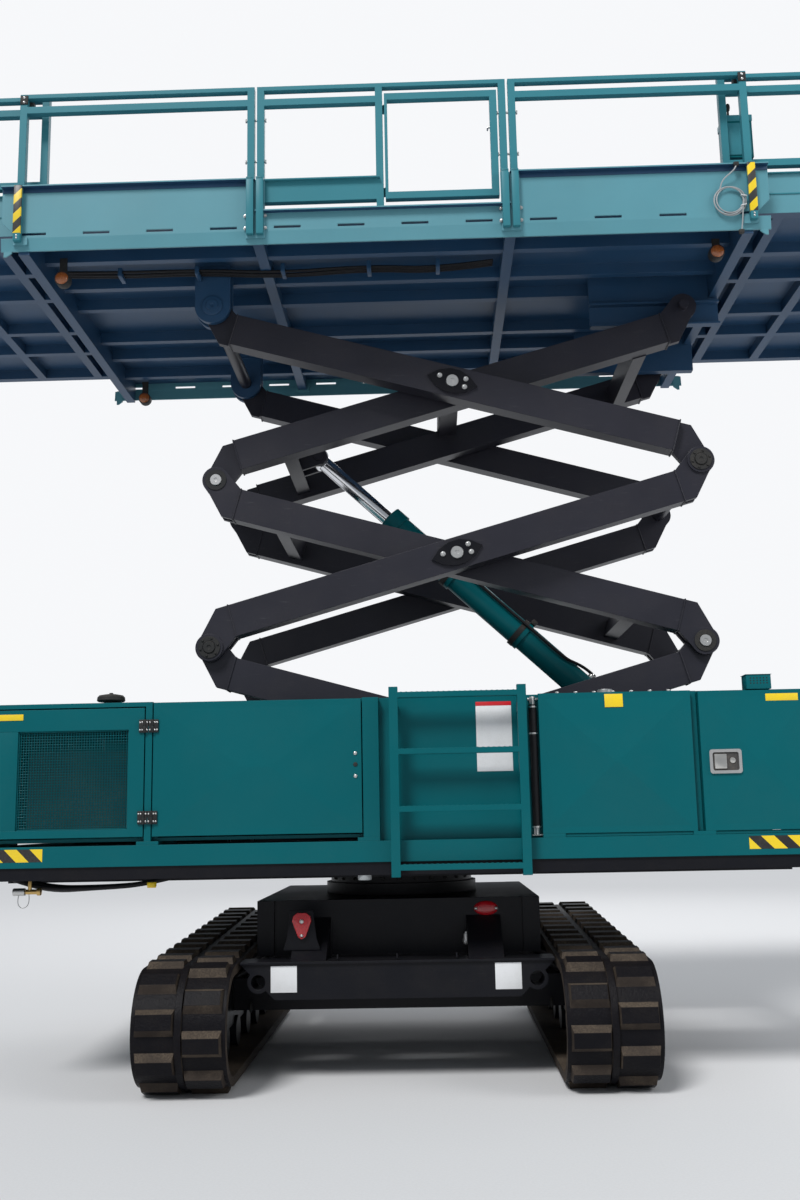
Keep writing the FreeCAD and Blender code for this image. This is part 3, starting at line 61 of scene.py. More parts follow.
FRONT = -1.250  # outer face of the front doors and side beam; the back ones are its mirror image
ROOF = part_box("engine_bay")[1][2]
BASE_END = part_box("side_beams")[1][0]
TANK_END = 1.508
GRILLE_LEFT = -1.904  # left edge of the wire that shows, beside the plate over the rest
DECK_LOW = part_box("side_plate_front")[0][2]
FOLD = DECK_LOW + 0.074  # fold along the side plate, where the posts' sockets start
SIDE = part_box("side_plate_front")[0][1] + 0.030  # face of the side plate, inside its 30 mm flange
POST_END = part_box("rails_front")[1][0] - 0.020  # middle of the end posts
LEFT_PINS, RIGHT_PINS = -1.028, 1.762035  # pins at the arms' ends
PIN_LOW, STAGE_RISE = 1.240, 1.0127695  # height of the lowest pins, and from stage to stage
ARM_MIDDLE, ARM_HALF = 0.367018, 1.480  # where the arms cross, and half their length between pins
REST_ANGLE = math.radians(15.7)
INNER_ARM, OUTER_ARM = (0.430, 0.550), (0.590, 0.710)  # the arms' faces, out from the middle plane
INNER_PIN, OUTER_PIN = 0.552, 0.724  # ends of their pins
BARREL_FOOT, ROD_EYE = Vector((1.200709, 0, 1.980725)), Vector((-0.466673, 0, 3.537584))  # at rest
CAMERA_PLACE = (0.1983, -7.4311, 1.2984)
CAMERA_TURN = (-1.341, 10.109, -1.110)  # yaw, pitch and roll in degrees
FOCAL_LENGTH = 36.594
UP, ALONG, OUT = (0, 0, 1), (1, 0, 0), (0, -1, 0)

# The record's material slots and the finishes that go with each; CAD nodes wear the first

SLOTS = {
    "satin_black": ("black_paint", "dark_fitting", "hose_rubber"),
    "track_rubber": ("moulded_rubber", "dusty_rubber"),
    "cabinet_paint": ("teal_paint", "red_lens", "amber_lens"),
    "arm_paint": ("arm_enamel",),
    "rod_chrome": ("chrome", "zinc", "brass", "latch_steel", "engine_iron_and_tray_shade"),
    "platform_paint": ("rail_paint", "white_plate", "yellow_plate", "red_band", "tape", "post_tape"),
    # Painted shade: the deck's underside wears a darker, bluer copy of the platform teal for the shade below it
    "deck_paint": ("underside_shade_paint",),
    "cable_grey": ("cable_jacket",),
}


# Building meshes

def turned(axis):
    """Rotation that takes +Z onto an axis."""
    return Vector(UP).rotation_difference(Vector(axis)).to_matrix().to_4x4()


def soften(bm, faces, width):
    """Bevels the sharp edges of a fresh shape."""
    if width <= 0:
        return
    edges = {edge for face in faces for edge in face.edges if edge.calc_face_angle(0) > 0.6}
    bmesh.ops.bevel(bm, geom=list(edges), offset=width, segments=2, profile=0.5,
                    affect="EDGES", material=-1, clamp_overlap=True)


def faces_of(verts):
    """Every face that touches one of the vertices."""
    return {face for vert in verts for face in vert.link_faces}


def add_box(bm, one, other, bevel=0.0, place=None):
    """Box between two opposite corners, with softened edges."""
    low, high = Vector(tuple(map(min, one, other))), Vector(tuple(map(max, one, other)))
    size = Matrix.Diagonal((*(high - low), 1))
    middle = Matrix.Translation((low + high) / 2)
    made = bmesh.ops.create_cube(bm, size=1, matrix=(place or Matrix()) @ middle @ size)
    soften(bm, faces_of(made["verts"]), bevel)


def add_rod(bm, start, axis, radius, length, bevel=0.0, sides=24, top=None, place=None):
    """Cylinder or cone that starts at a point and runs along an axis."""
    axis = Vector(axis).normalized()
    matrix = Matrix.Translation(Vector(start) + axis * length / 2) @ turned(axis)
    made = bmesh.ops.create_cone(bm, cap_ends=True, segments=sides, radius1=radius,
                                 radius2=radius if top is None else top, depth=length,
                                 matrix=(place or Matrix()) @ matrix)
    soften(bm, faces_of(made["verts"]), bevel)


def add_dome(bm, at, axis, radius, tall, sides=16):
    """Low rounded cap on a face."""
    matrix = Matrix.Translation(Vector(at)) @ turned(Vector(axis).normalized())
    bmesh.ops.create_uvsphere(bm, u_segments=sides, v_segments=8, radius=1,
                              matrix=matrix @ Matrix.Diagonal((radius, radius, tall, 1)))


def add_bolt(bm, at, axis, radius=0.010, place=None):
    """Hexagon head on a washer."""
    axis = Vector(axis).normalized()
    add_rod(bm, at, axis, radius * 1.35, radius * 0.25, sides=16, place=place)
    add_rod(bm, Vector(at) + axis * radius * 0.25, axis, radius, radius * 0.7, radius * 0.12, 6, place=place)


def add_profile(bm, outline, thick, bevel=0.0, place=None):
    """Plate of an (x, z) outline that starts at y = 0 and runs thick towards +Y."""
    verts = [bm.verts.new((x, 0, z)) for x, z in outline]
    face = bm.faces.new(verts)
    made = bmesh.ops.extrude_face_region(bm, geom=[face])
    moved = [item for item in made["geom"] if isinstance(item, bmesh.types.BMVert)]
    bmesh.ops.translate(bm, verts=moved, vec=(0, thick, 0))
    every = verts + moved
    bmesh.ops.recalc_face_normals(bm, faces=list(faces_of(every)))
    if place:
        bmesh.ops.transform(bm, matrix=place, verts=every)
    soften(bm, faces_of(every), bevel)


def add_tube(bm, points, radius, sides=10, lumps=0.0):
    """Round tube along points, turned smoothly from run to run; lumps make every second ring thicker."""
    points = [Vector(point) for point in points]
    rings = []
    side = None
    for i, point in enumerate(points):
        before = points[max(i - 1, 0)]
        after = points[min(i + 1, len(points) - 1)]
        along = (after - before).normalized()
        if side is None:
            side = along.orthogonal().normalized()
        side = (side - along * side.dot(along)).normalized()
        third = along.cross(side)
        reach = radius * (1 + lumps * (i % 2))
        ring = [bm.verts.new(point + reach * (math.cos(a) * side + math.sin(a) * third))
                for a in (2 * math.pi * j / sides for j in range(sides))]
        rings.append([bm.edges.new((ring[j], ring[(j + 1) % sides])) for j in range(sides)])
        if i:
            bmesh.ops.bridge_loops(bm, edges=rings[-2] + rings[-1])
    for ends in (rings[0], rings[-1]):
        bmesh.ops.contextual_create(bm, geom=ends)
    bmesh.ops.recalc_face_normals(bm, faces=bm.faces[:])


def smooth_path(points, steps=8):
    """Points along a smooth run through the given ones."""
    curve = bpy.data.curves.new("route", "CURVE")
    curve.dimensions = "3D"
    curve.resolution_u = steps
    spline = curve.splines.new("NURBS")
    spline.points.add(len(points) - 1)
    for target, point in zip(spline.points, points):
        target.co = (*point, 1)
    spline.order_u = 3
    spline.use_endpoint_u = True
    holder = bpy.data.objects.new("route", curve)
    mesh = bpy.data.meshes.new_from_object(holder)
    found = [vert.co.copy() for vert in mesh.vertices]
    bpy.data.objects.remove(holder)
    bpy.data.curves.remove(curve)
    bpy.data.meshes.remove(mesh)
    return found


def rounded(half_wide, half_tall, radius):
    """Outline (x, z) of a rectangle with rounded corners."""
    points, steps = [], 5
    for corner, (x, z) in enumerate(((1, 1), (-1, 1), (-1, -1), (1, -1))):
        for i in range(steps + 1):
            turn = math.pi / 2 * (corner + i / steps)
            points.append((x * (half_wide - radius) + radius * math.cos(turn),
                           z * (half_tall - radius) + radius * math.sin(turn)))
    return points


def circle(radius, sides=32):
    """Outline (x, z) of a circle."""
    return [(radius * math.cos(2 * math.pi * i / sides), radius * math.sin(2 * math.pi * i / sides))
            for i in range(sides)]


def add_ring(bm, rim, hole, near, far, place=None):
    """Flat ring between two (x, z) outlines of as many points, from y near to y far."""
    loops = [[bm.verts.new((x, y, z)) for x, z in outline]
             for outline, y in ((rim, near), (rim, far), (hole, far), (hole, near))]
    count = len(rim)
    made = [bm.faces.new((one[i], one[(i + 1) % count], two[(i + 1) % count], two[i]))
            for one, two in zip(loops, loops[1:] + loops[:1]) for i in range(count)]
    bmesh.ops.recalc_face_normals(bm, faces=made)
    if place:
        bmesh.ops.transform(bm, matrix=place, verts=[vert for loop in loops for vert in loop])


def spin_profile(bm, at, axis, profile, sides=32):
    """Turned shape from (radius, height) points along an axis."""
    verts = [bm.verts.new((radius, 0, height)) for radius, height in profile]
    edges = [bm.edges.new(pair) for pair in zip(verts, verts[1:])]
    made = bmesh.ops.spin(bm, geom=verts + edges, cent=(0, 0, 0), axis=UP, angle=2 * math.pi,
                          steps=sides, use_merge=True)
    every = set(verts) | {vert for item in made["geom_last"] for vert in getattr(item, "verts", [item])}
    every = {vert for start in every for vert in linked_verts(start)}
    bmesh.ops.remove_doubles(bm, verts=[vert for vert in every if math.hypot(vert.co.x, vert.co.y) < 1e-6],
                             dist=1e-6)
    every = [vert for vert in every if vert.is_valid]
    bmesh.ops.recalc_face_normals(bm, faces=list(faces_of(every)))
    bmesh.ops.transform(bm, matrix=Matrix.Translation(Vector(at)) @ turned(axis), verts=every)


def linked_verts(start):
    """Every vertex that edges join to one."""
    found, waiting = {start}, [start]
    while waiting:
        for edge in waiting.pop().link_edges:
            for vert in edge.verts:
                if vert not in found:
                    found.add(vert)
                    waiting.append(vert)
    return found


def piece(name, bm, body, finish, slot=None, smooth=True):
    """Turns a bmesh into an object that rides on a body, in its finish; the slot argument is not used."""
    mesh = bpy.data.meshes.new(name)
    bm.to_mesh(mesh)
    bm.free()
    mesh.materials.append(bpy.data.materials[finish])
    if smooth:
        mesh.shade_smooth()
        mesh.set_sharp_from_angle(angle=math.radians(35))
    thing = bpy.data.objects.new(name, mesh)
    bpy.context.scene.collection.objects.link(thing)
    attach(thing, body)
    slot = slot or next(own for own, finishes in SLOTS.items() if finish in finishes)
    return thing


def arm_place(stage, slope):
    """Matrix from an arm's own axes (x along it, z above) to the frame."""
    middle = Vector((ARM_MIDDLE, 0, PIN_LOW + STAGE_RISE * (stage - 0.5)))
    return Matrix.Translation(middle) @ Matrix.Rotation(-slope * REST_ANGLE, 4, "Y")


# Nodes and finishes

def give(tree, socket, value):
    """Gives a socket a number, a colour or another node's output."""
    if isinstance(value, (int, float, tuple)):
        socket.default_value = value
    else:
        tree.links.new(value, socket)


def feed(tree, node, **values):
    """Gives a node's inputs their values by name, with _ for a blank."""
    for label, value in values.items():
        give(tree, node.inputs[label.replace("_", " ")], value)


def new_group(name, inputs, outputs):
    group = bpy.data.node_groups.new(name, "ShaderNodeTree")
    for label, kind, default in inputs:
        socket = group.interface.new_socket(label, in_out="INPUT", socket_type=kind)
        socket.default_value = default
    for label, kind in outputs:
        group.interface.new_socket(label, in_out="OUTPUT", socket_type=kind)
    return group, group.nodes.new("NodeGroupInput"), group.nodes.new("NodeGroupOutput")


def group_node(tree, group, **values):
    node = tree.nodes.new("ShaderNodeGroup")
    node.node_tree = bpy.data.node_groups[group]
    feed(tree, node, **values)
    return node


def own_place(tree):
    """Each point's place in Object coordinates."""
    return tree.nodes.new("ShaderNodeTexCoord").outputs["Object"]


def math_node(tree, kind, *values):
    """Math node whose inputs are sockets or numbers."""
    node = tree.nodes.new("ShaderNodeMath")
    node.operation = kind
    for socket, value in zip(node.inputs, values):
        give(tree, socket, value)
    return node.outputs[0]


def noise_node(tree, vector, scale, detail=3.0, roughness=0.5):
    node = tree.nodes.new("ShaderNodeTexNoise")
    feed(tree, node, Vector=vector, Scale=scale, Detail=detail, Roughness=roughness)
    return node.outputs["Fac"]


def ramp_node(tree, factor, low, high):
    """Smooth step of a value between two limits."""
    node = tree.nodes.new("ShaderNodeMapRange")
    node.interpolation_type = "SMOOTHSTEP"
    feed(tree, node, Value=factor, From_Min=low, From_Max=high)
    return node.outputs["Result"]


def mix_colour(tree, factor, first, second):
    node = tree.nodes.new("ShaderNodeMix")
    node.data_type = "RGBA"
    colours = [socket for socket in node.inputs if socket.type == "RGBA"]
    for socket, value in ((node.inputs["Factor"], factor), (colours[0], first), (colours[1], second)):
        give(tree, socket, value)
    return [socket for socket in node.outputs if socket.type == "RGBA"][0]


def make_dust_group():
    """Dry dust: thicker on faces that look up, in soft patches."""
    tree, given, made = new_group(
        "dry_dust",
        (("Colour", "NodeSocketColor", (0.1, 0.1, 0.1, 1)), ("Roughness", "NodeSocketFloat", 0.5),
         ("Dust", "NodeSocketColor", (0.24, 0.2, 0.15, 1)), ("Amount", "NodeSocketFloat", 0.4),
         ("Patch Scale", "NodeSocketFloat", 5.0)),
        (("Colour", "NodeSocketColor"), ("Roughness", "NodeSocketFloat")))
    place = own_place(tree)
    split = tree.nodes.new("ShaderNodeSeparateXYZ")
    tree.links.new(tree.nodes.new("ShaderNodeNewGeometry").outputs["Normal"], split.inputs[0])
    upward = ramp_node(tree, split.outputs["Z"], -0.2, 1.0)
    patches = ramp_node(tree, noise_node(tree, place, given.outputs["Patch Scale"], 5.0, 0.6), 0.38, 0.68)
    grains = ramp_node(tree, noise_node(tree, place, 130.0, 2.0), 0.3, 0.75)
    cover = math_node(tree, "MULTIPLY", math_node(tree, "ADD", patches, upward), given.outputs["Amount"])
    mask = math_node(tree, "MULTIPLY", cover, math_node(tree, "ADD", grains, 0.35))
    mask = math_node(tree, "MINIMUM", math_node(tree, "MAXIMUM", mask, 0.0), 0.9)
    feed(tree, made, Colour=mix_colour(tree, mask, given.outputs["Colour"], given.outputs["Dust"]),
         Roughness=math_node(tree, "MULTIPLY_ADD", mask, 0.35, given.outputs["Roughness"]))


def make_paint_group():
    """Sprayed paint: faint orange peel, slow changes of tone and rubbed streaks."""
    tree, given, made = new_group(
        "sprayed_paint",
        (("Colour", "NodeSocketColor", (0.1, 0.1, 0.1, 1)), ("Roughness", "NodeSocketFloat", 0.4),
         ("Tone", "NodeSocketFloat", 0.15), ("Scuffs", "NodeSocketFloat", 0.2)),
        (("Colour", "NodeSocketColor"), ("Roughness", "NodeSocketFloat"), ("Height", "NodeSocketFloat")))
    place = own_place(tree)
    slow = noise_node(tree, place, 1.7, 4.0, 0.6)
    peel = noise_node(tree, place, 420.0, 2.0)
    stretch = tree.nodes.new("ShaderNodeMapping")
    feed(tree, stretch, Vector=place, Scale=(1.0, 3.0, 9.0))
    streaks = ramp_node(tree, noise_node(tree, stretch.outputs[0], 9.0, 8.0, 0.7), 0.58, 0.8)
    shade = math_node(tree, "MULTIPLY", math_node(tree, "SUBTRACT", slow, 0.5), given.outputs["Tone"])
    level = tree.nodes.new("ShaderNodeHueSaturation")
    feed(tree, level, Color=given.outputs["Colour"], Value=math_node(tree, "MULTIPLY_ADD", shade, 2.0, 1.0))
    rubbed = math_node(tree, "MULTIPLY", streaks, given.outputs["Scuffs"])
    pale = mix_colour(tree, 0.25, level.outputs["Color"], (0.5, 0.5, 0.5, 1))
    rough = math_node(tree, "MULTIPLY_ADD", slow, 0.12, given.outputs["Roughness"])
    feed(tree, made, Colour=mix_colour(tree, rubbed, level.outputs["Color"], pale),
         Roughness=math_node(tree, "MULTIPLY_ADD", rubbed, 0.25, rough),
         Height=math_node(tree, "MULTIPLY_ADD", peel, 0.12, math_node(tree, "MULTIPLY", slow, 0.6)))


def new_material(name):
    material = bpy.data.materials.new(name)
    material.use_nodes = True
    return material.node_tree, material.node_tree.nodes["Principled BSDF"]


def coat_shader(tree, shader, group):
    """Gives the shader a group's colour and roughness."""
    feed(tree, shader, Base_Color=group.outputs["Colour"], Roughness=group.outputs["Roughness"])


def bump(tree, shader, height, distance, strength=1.0, edge=0.0):
    """Bump from a height, over edges that look rounded by a radius."""
    node = tree.nodes.new("ShaderNodeBump")
    if edge:
        bevel = tree.nodes.new("ShaderNodeBevel")
        bevel.samples = 4
        bevel.inputs["Radius"].default_value = edge
        tree.links.new(bevel.outputs["Normal"], node.inputs["Normal"])
    feed(tree, node, Distance=distance, Strength=strength, Height=height)
    tree.links.new(node.outputs["Normal"], shader.inputs["Normal"])


def make_paint(name, colour, roughness, tone=0.15, scuffs=0.2, dust=0.1, patch=3.0, coat=0.0, shine=0.22):
    """Sprayed metal with dust on it."""
    tree, shader = new_material(name)
    paint = group_node(tree, "sprayed_paint", Colour=(*colour, 1), Roughness=roughness, Tone=tone,
                       Scuffs=scuffs)
    coat_shader(tree, shader, group_node(tree, "dry_dust", Colour=paint.outputs["Colour"],
                                         Roughness=paint.outputs["Roughness"], Amount=dust,
                                         Patch_Scale=patch))
    feed(tree, shader, Coat_Weight=coat, Coat_Roughness=0.12, Specular_IOR_Level=shine)
    bump(tree, shader, paint.outputs["Height"], 0.0012, edge=0.004)


def make_metal(name, colour, roughness, tone=0.2):
    """Bare or plated metal with rubbed streaks."""
    tree, shader = new_material(name)
    paint = group_node(tree, "sprayed_paint", Colour=(*colour, 1), Roughness=roughness, Tone=tone, Scuffs=0.5)
    coat_shader(tree, shader, paint)
    feed(tree, shader, Metallic=1.0)
    bump(tree, shader, paint.outputs["Height"], 0.0006)


def make_rubber(name, colour, roughness, dust, shine):
    """Moulded rubber with soil dried on it in patches."""
    tree, shader = new_material(name)
    coat_shader(tree, shader, group_node(tree, "dry_dust", Colour=(*colour, 1), Roughness=roughness,
                                         Dust=(0.125, 0.098, 0.072, 1), Amount=dust, Patch_Scale=7.0))
    feed(tree, shader, Specular_IOR_Level=shine)
    bump(tree, shader, noise_node(tree, own_place(tree), 60.0, 6.0, 0.65), 0.006, 0.6, 0.006)


def make_stripes(name, first, second, pitch, slant=1.0):
    """Slanted two-colour warning tape with a little dust."""
    tree, shader = new_material(name)
    split = tree.nodes.new("ShaderNodeSeparateXYZ")
    tree.links.new(own_place(tree), split.inputs[0])
    along = math_node(tree, "MULTIPLY_ADD", split.outputs["Z"], slant, split.outputs["X"])
    wave = math_node(tree, "FRACT", math_node(tree, "DIVIDE", along, pitch))
    colour = mix_colour(tree, math_node(tree, "GREATER_THAN", wave, 0.5), (*first, 1), (*second, 1))
    coat_shader(tree, shader, group_node(tree, "dry_dust", Colour=colour, Roughness=0.38, Amount=0.1))


def make_plate(name, colour, roughness=0.35):
    """Blank printed plate with a soft sheen."""
    tree, shader = new_material(name)
    coat_shader(tree, shader, group_node(tree, "dry_dust", Colour=(*colour, 1), Roughness=roughness,
                                         Amount=0.08, Patch_Scale=14.0))


def make_lens(name, colour):
    """Clear plastic over small facets."""
    tree, shader = new_material(name)
    facets = tree.nodes.new("ShaderNodeTexVoronoi")
    feed(tree, facets, Scale=160.0, Vector=own_place(tree))
    red, green, blue = colour
    shade = mix_colour(tree, facets.outputs["Distance"], (red, green, blue, 1),
                       (red * 0.5, green * 0.4, blue * 0.4, 1))
    feed(tree, shader, Base_Color=shade, Roughness=0.15, Coat_Weight=0.6)
    bump(tree, shader, facets.outputs["Distance"], 0.001)


def dress(node, finish):
    """Gives a CAD node a finish."""
    mesh = frame["nodes"][node].data
    mesh.materials.clear()
    mesh.materials.append(bpy.data.materials[finish])


def paint_faces(node, finish, chosen):
    """Gives a second finish to the faces of a CAD node that a test picks by their middle and normal."""
    thing = frame["nodes"][node]
    mesh = thing.data
    mesh.materials.append(bpy.data.materials[finish])
    turn = thing.matrix_world.to_3x3()
    for face in mesh.polygons:
        if chosen(thing.matrix_world @ face.center, turn @ face.normal):
            face.material_index = len(mesh.materials) - 1


def flank_of(node):
    """Test for a track's faces that don't look straight away from the loop."""
    low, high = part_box(node)
    radius = (high[2] - low[2]) / 2
    bend = (high[1] - low[1]) / 2 - radius
    middle_y, middle_z = (low[1] + high[1]) / 2, (low[2] + high[2]) / 2

    def chosen(middle, normal):
        over = middle.y - middle_y
        away = Vector((0, over - max(-bend, min(bend, over)), middle.z - middle_z))
        return away.length > 0 and normal.dot(away.normalized()) < 0.93
    return chosen


def toe_board_of(node):
    """Test for the outer faces of an extension deck's toe boards."""
    low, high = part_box(node)

    def chosen(middle, normal):
        end = min(high[0] - middle.x, middle.x - low[0])
        return high[1] - abs(middle.y) < 0.010 or end < 0.010 and middle.z > low[2] + 0.07
    return chosen


# What a user may change

class LiftColours(bpy.types.PropertyGroup):
    teal: FloatVectorProperty(name="Cabinet paint", description="Cabinets, ladder and side beams",
                              subtype="COLOR", size=3, min=0, max=1, default=(0.0, 0.102, 0.119))
    rail: FloatVectorProperty(name="Platform paint", description="Platform sides and rails",
                              subtype="COLOR", size=3, min=0, max=1, default=(0.038, 0.205, 0.250))
    # Painted light: a lighter copy of the platform paint, for the light that falls on the side plates
    plate: FloatVectorProperty(name="Side plate paint", description="Folded side plates of the platform",
                               subtype="COLOR", size=3, min=0, max=1, default=(0.096, 0.280, 0.335))
    arm: FloatVectorProperty(name="Arm paint", description="Scissor arms", subtype="COLOR", size=3,
                             min=0, max=1, default=(0.0165, 0.0165, 0.0250))
    # Painted shade: a darker, bluer copy of the platform teal for faces seen from below, which are the same
    # paint in shade
    under: FloatVectorProperty(name="Underside paint", description="Deck frames seen from below",
                               subtype="COLOR", size=3, min=0, max=1, default=(0.014, 0.056, 0.125))
    black: FloatVectorProperty(name="Undercarriage paint", description="Undercarriage and upper frame",
                               subtype="COLOR", size=3, min=0, max=1, default=(0.0055, 0.006, 0.009))
    yellow: FloatVectorProperty(name="Tape yellow", description="Warning tape and blank plates",
                                subtype="COLOR", size=3, min=0, max=1, default=(0.84, 0.60, 0.012))
    red: FloatVectorProperty(name="Reflector red", description="Reflectors, sign band and stop button",
                             subtype="COLOR", size=3, min=0, max=1, default=(0.60, 0.008, 0.018))


class LiftSizes(bpy.types.PropertyGroup):
    edge: FloatProperty(name="Edge", description="Softened edges of added pieces", unit="LENGTH",
                        default=0.003, min=0.0005, max=0.01)
    bolt: FloatProperty(name="Bolt head", description="Radius of the bolt heads", unit="LENGTH",
                        default=0.011, min=0.004, max=0.02)
    mesh_pitch: FloatProperty(name="Mesh pitch", description="Grille wire from wire to wire",
                              unit="LENGTH", default=0.0135, min=0.008, max=0.03)
    mesh_wire: FloatProperty(name="Mesh wire", description="Radius of the grille's wire", unit="LENGTH",
                             default=0.0021, min=0.0005, max=0.004)
    tape_pitch: FloatProperty(name="Tape pitch", description="Warning tape from stripe to stripe",
                              unit="LENGTH", default=0.13, min=0.02, max=0.4)
    tank_bolts: IntProperty(name="Tank bolts", description="Bolts along the tank's top edge",
                            default=7, min=2, max=20)


class LIFT_OT_finishes(bpy.types.Operator):
    """Make the finishes and give them to the CAD nodes"""
    bl_idname = "lift.finishes"
    bl_label = "Finishes"

    def execute(self, context):
        colours, pitch = context.scene.lift_colours, context.scene.lift_sizes.tape_pitch
        make_dust_group()
        make_paint_group()
        make_paint("teal_paint", colours.teal, 0.34, tone=0.08, scuffs=0.05, dust=0.012, coat=0.05,
                   shine=0.12)
        make_paint("rail_paint", colours.rail, 0.36, tone=0.10, scuffs=0.10, dust=0.02, shine=0.2)
        # Painted light: the platform paint made lighter for the lit side plates and toe boards
        make_paint("lit_platform_paint", colours.plate, 0.32, tone=0.12, scuffs=0.15, dust=0.03, shine=0.4)
        make_paint("arm_enamel", colours.arm, 0.34, tone=0.30, scuffs=0.25, dust=0.02, patch=4.0, shine=0.35)
        # Painted shade: the platform teal darkened and blued for the shade under the deck
        make_paint("underside_shade_paint", colours.under, 0.38, tone=0.25, scuffs=0.20, dust=0.03, shine=0.4)
        make_paint("black_paint", colours.black, 0.30, tone=0.25, scuffs=0.08, dust=0.015, patch=6.0,
                   shine=0.17)
        make_paint("dark_fitting", (0.02, 0.021, 0.022), 0.5, dust=0.08)
        # Dark iron grey: the engine block's own colour, and painted shade on the latch trays' floors
        make_paint("engine_iron_and_tray_shade", (0.045, 0.045, 0.048), 0.5, tone=0.4, dust=0.3)
        make_metal("chrome", (0.80, 0.81, 0.83), 0.10, tone=0.05)
        make_metal("zinc", (0.58, 0.58, 0.57), 0.32)
        make_metal("brass", (0.62, 0.42, 0.16), 0.35)
        make_metal("latch_steel", (0.62, 0.61, 0.58), 0.24, tone=0.1)
        make_rubber("moulded_rubber", (0.0060, 0.0058, 0.0078), 0.38, 0.030, 0.08)
        make_rubber("dusty_rubber", (0.034, 0.027, 0.023), 0.60, 0.42, 0.08)
        make_rubber("hose_rubber", (0.010, 0.010, 0.012), 0.45, 0.02, 0.20)
        make_stripes("tape", colours.yellow, (0.012, 0.012, 0.013), pitch)
        make_stripes("post_tape", colours.yellow, (0.03, 0.03, 0.03), pitch * 0.85, slant=-1.0)
        make_plate("yellow_plate", colours.yellow)
        make_plate("white_plate", (0.74, 0.75, 0.76))
        make_plate("red_band", colours.red)
        make_plate("cable_jacket", (0.32, 0.34, 0.35), 0.45)
        make_lens("red_lens", colours.red)
        make_lens("amber_lens", (0.42, 0.13, 0.03))
        for item in frame["record"]["subparts"]:
            dress(item["node"], SLOTS[item["material_slot"]][0])
        dress("engine_block", "engine_iron_and_tray_shade")
        for side in ("front", "back"):
            # Painted light: the side plates wear the lighter copy of the platform paint
            dress(f"side_plate_{side}", "lit_platform_paint")
            # Painted shade: the downward faces of the side plate's top flange take the darker underside paint
            paint_faces(f"side_plate_{side}", "underside_shade_paint",
                        lambda middle, normal: normal.z < -0.7 and middle.z > 4.55)
        for side in ("left", "right"):
            paint_faces(f"track_{side}", "dusty_rubber", flank_of(f"track_{side}"))
            # Painted light: the toe boards' outer faces take the lighter copy of the platform paint
            paint_faces(f"extension_{side}", "lit_platform_paint", toe_board_of(f"extension_{side}"))
        return {"FINISHED"}


class LIFT_OT_undercarriage(bpy.types.Operator):
    """Reflectors, their screws and bracket, and blank plates of the undercarriage"""
    bl_idname = "lift.undercarriage"
    bl_label = "Undercarriage fittings"

    def execute(self, context):
        face, lamp_z = -0.750, 0.816
        lamps = bmesh.new()
        bmesh.ops.create_uvsphere(lamps, u_segments=24, v_segments=12, radius=1,
                                  matrix=Matrix.Translation((0.467, face, lamp_z))
                                  @ Matrix.Diagonal((0.064, 0.016, 0.038, 1)))
        drop = [(0.0, -0.072), (0.020, -0.060), (0.050, 0.020), (0.044, 0.046), (0.022, 0.062),
                (-0.022, 0.062), (-0.044, 0.046), (-0.050, 0.020), (-0.020, -0.060)]
        arm_x, arm_y, arm_z = -0.487, -1.000, 0.766
        add_profile(lamps, drop, 0.022, 0.006, Matrix.Translation((arm_x, arm_y - 0.022, arm_z)))
        piece("reflectors_front", lamps, "undercarriage", "red_lens")
        screws = bmesh.new()
        for x, y, z, radius in ((arm_x, arm_y - 0.023, arm_z - 0.052, 0.009),
                                (arm_x, arm_y - 0.023, arm_z + 0.018, 0.012),
                                (0.413, face - 0.014, lamp_z, 0.009), (0.521, face - 0.014, lamp_z, 0.009)):
            add_dome(screws, (x, y, z), OUT, radius, 0.006)
        piece("reflector_screws", screws, "undercarriage", "zinc")
        bracket = bmesh.new()
        outline = [(-0.585, 0.640), (-0.392, 0.640), (-0.412, 0.700), (-0.430, 0.838), (-0.546, 0.838),
                   (-0.565, 0.700)]
        add_profile(bracket, outline, 0.008, context.scene.lift_sizes.edge, Matrix.Translation((0, arm_y, 0)))
        piece("reflector_bracket", bracket, "undercarriage", "black_paint")
        plates = bmesh.new()
        beam = -1.090
        for left, right in ((-0.636, -0.504), (0.490, 0.622)):
            add_box(plates, (left, beam - 0.0025, 0.446), (right, beam, 0.575), 0.001)
        piece("blank_plates_front", plates, "undercarriage", "white_plate")
        return {"FINISHED"}


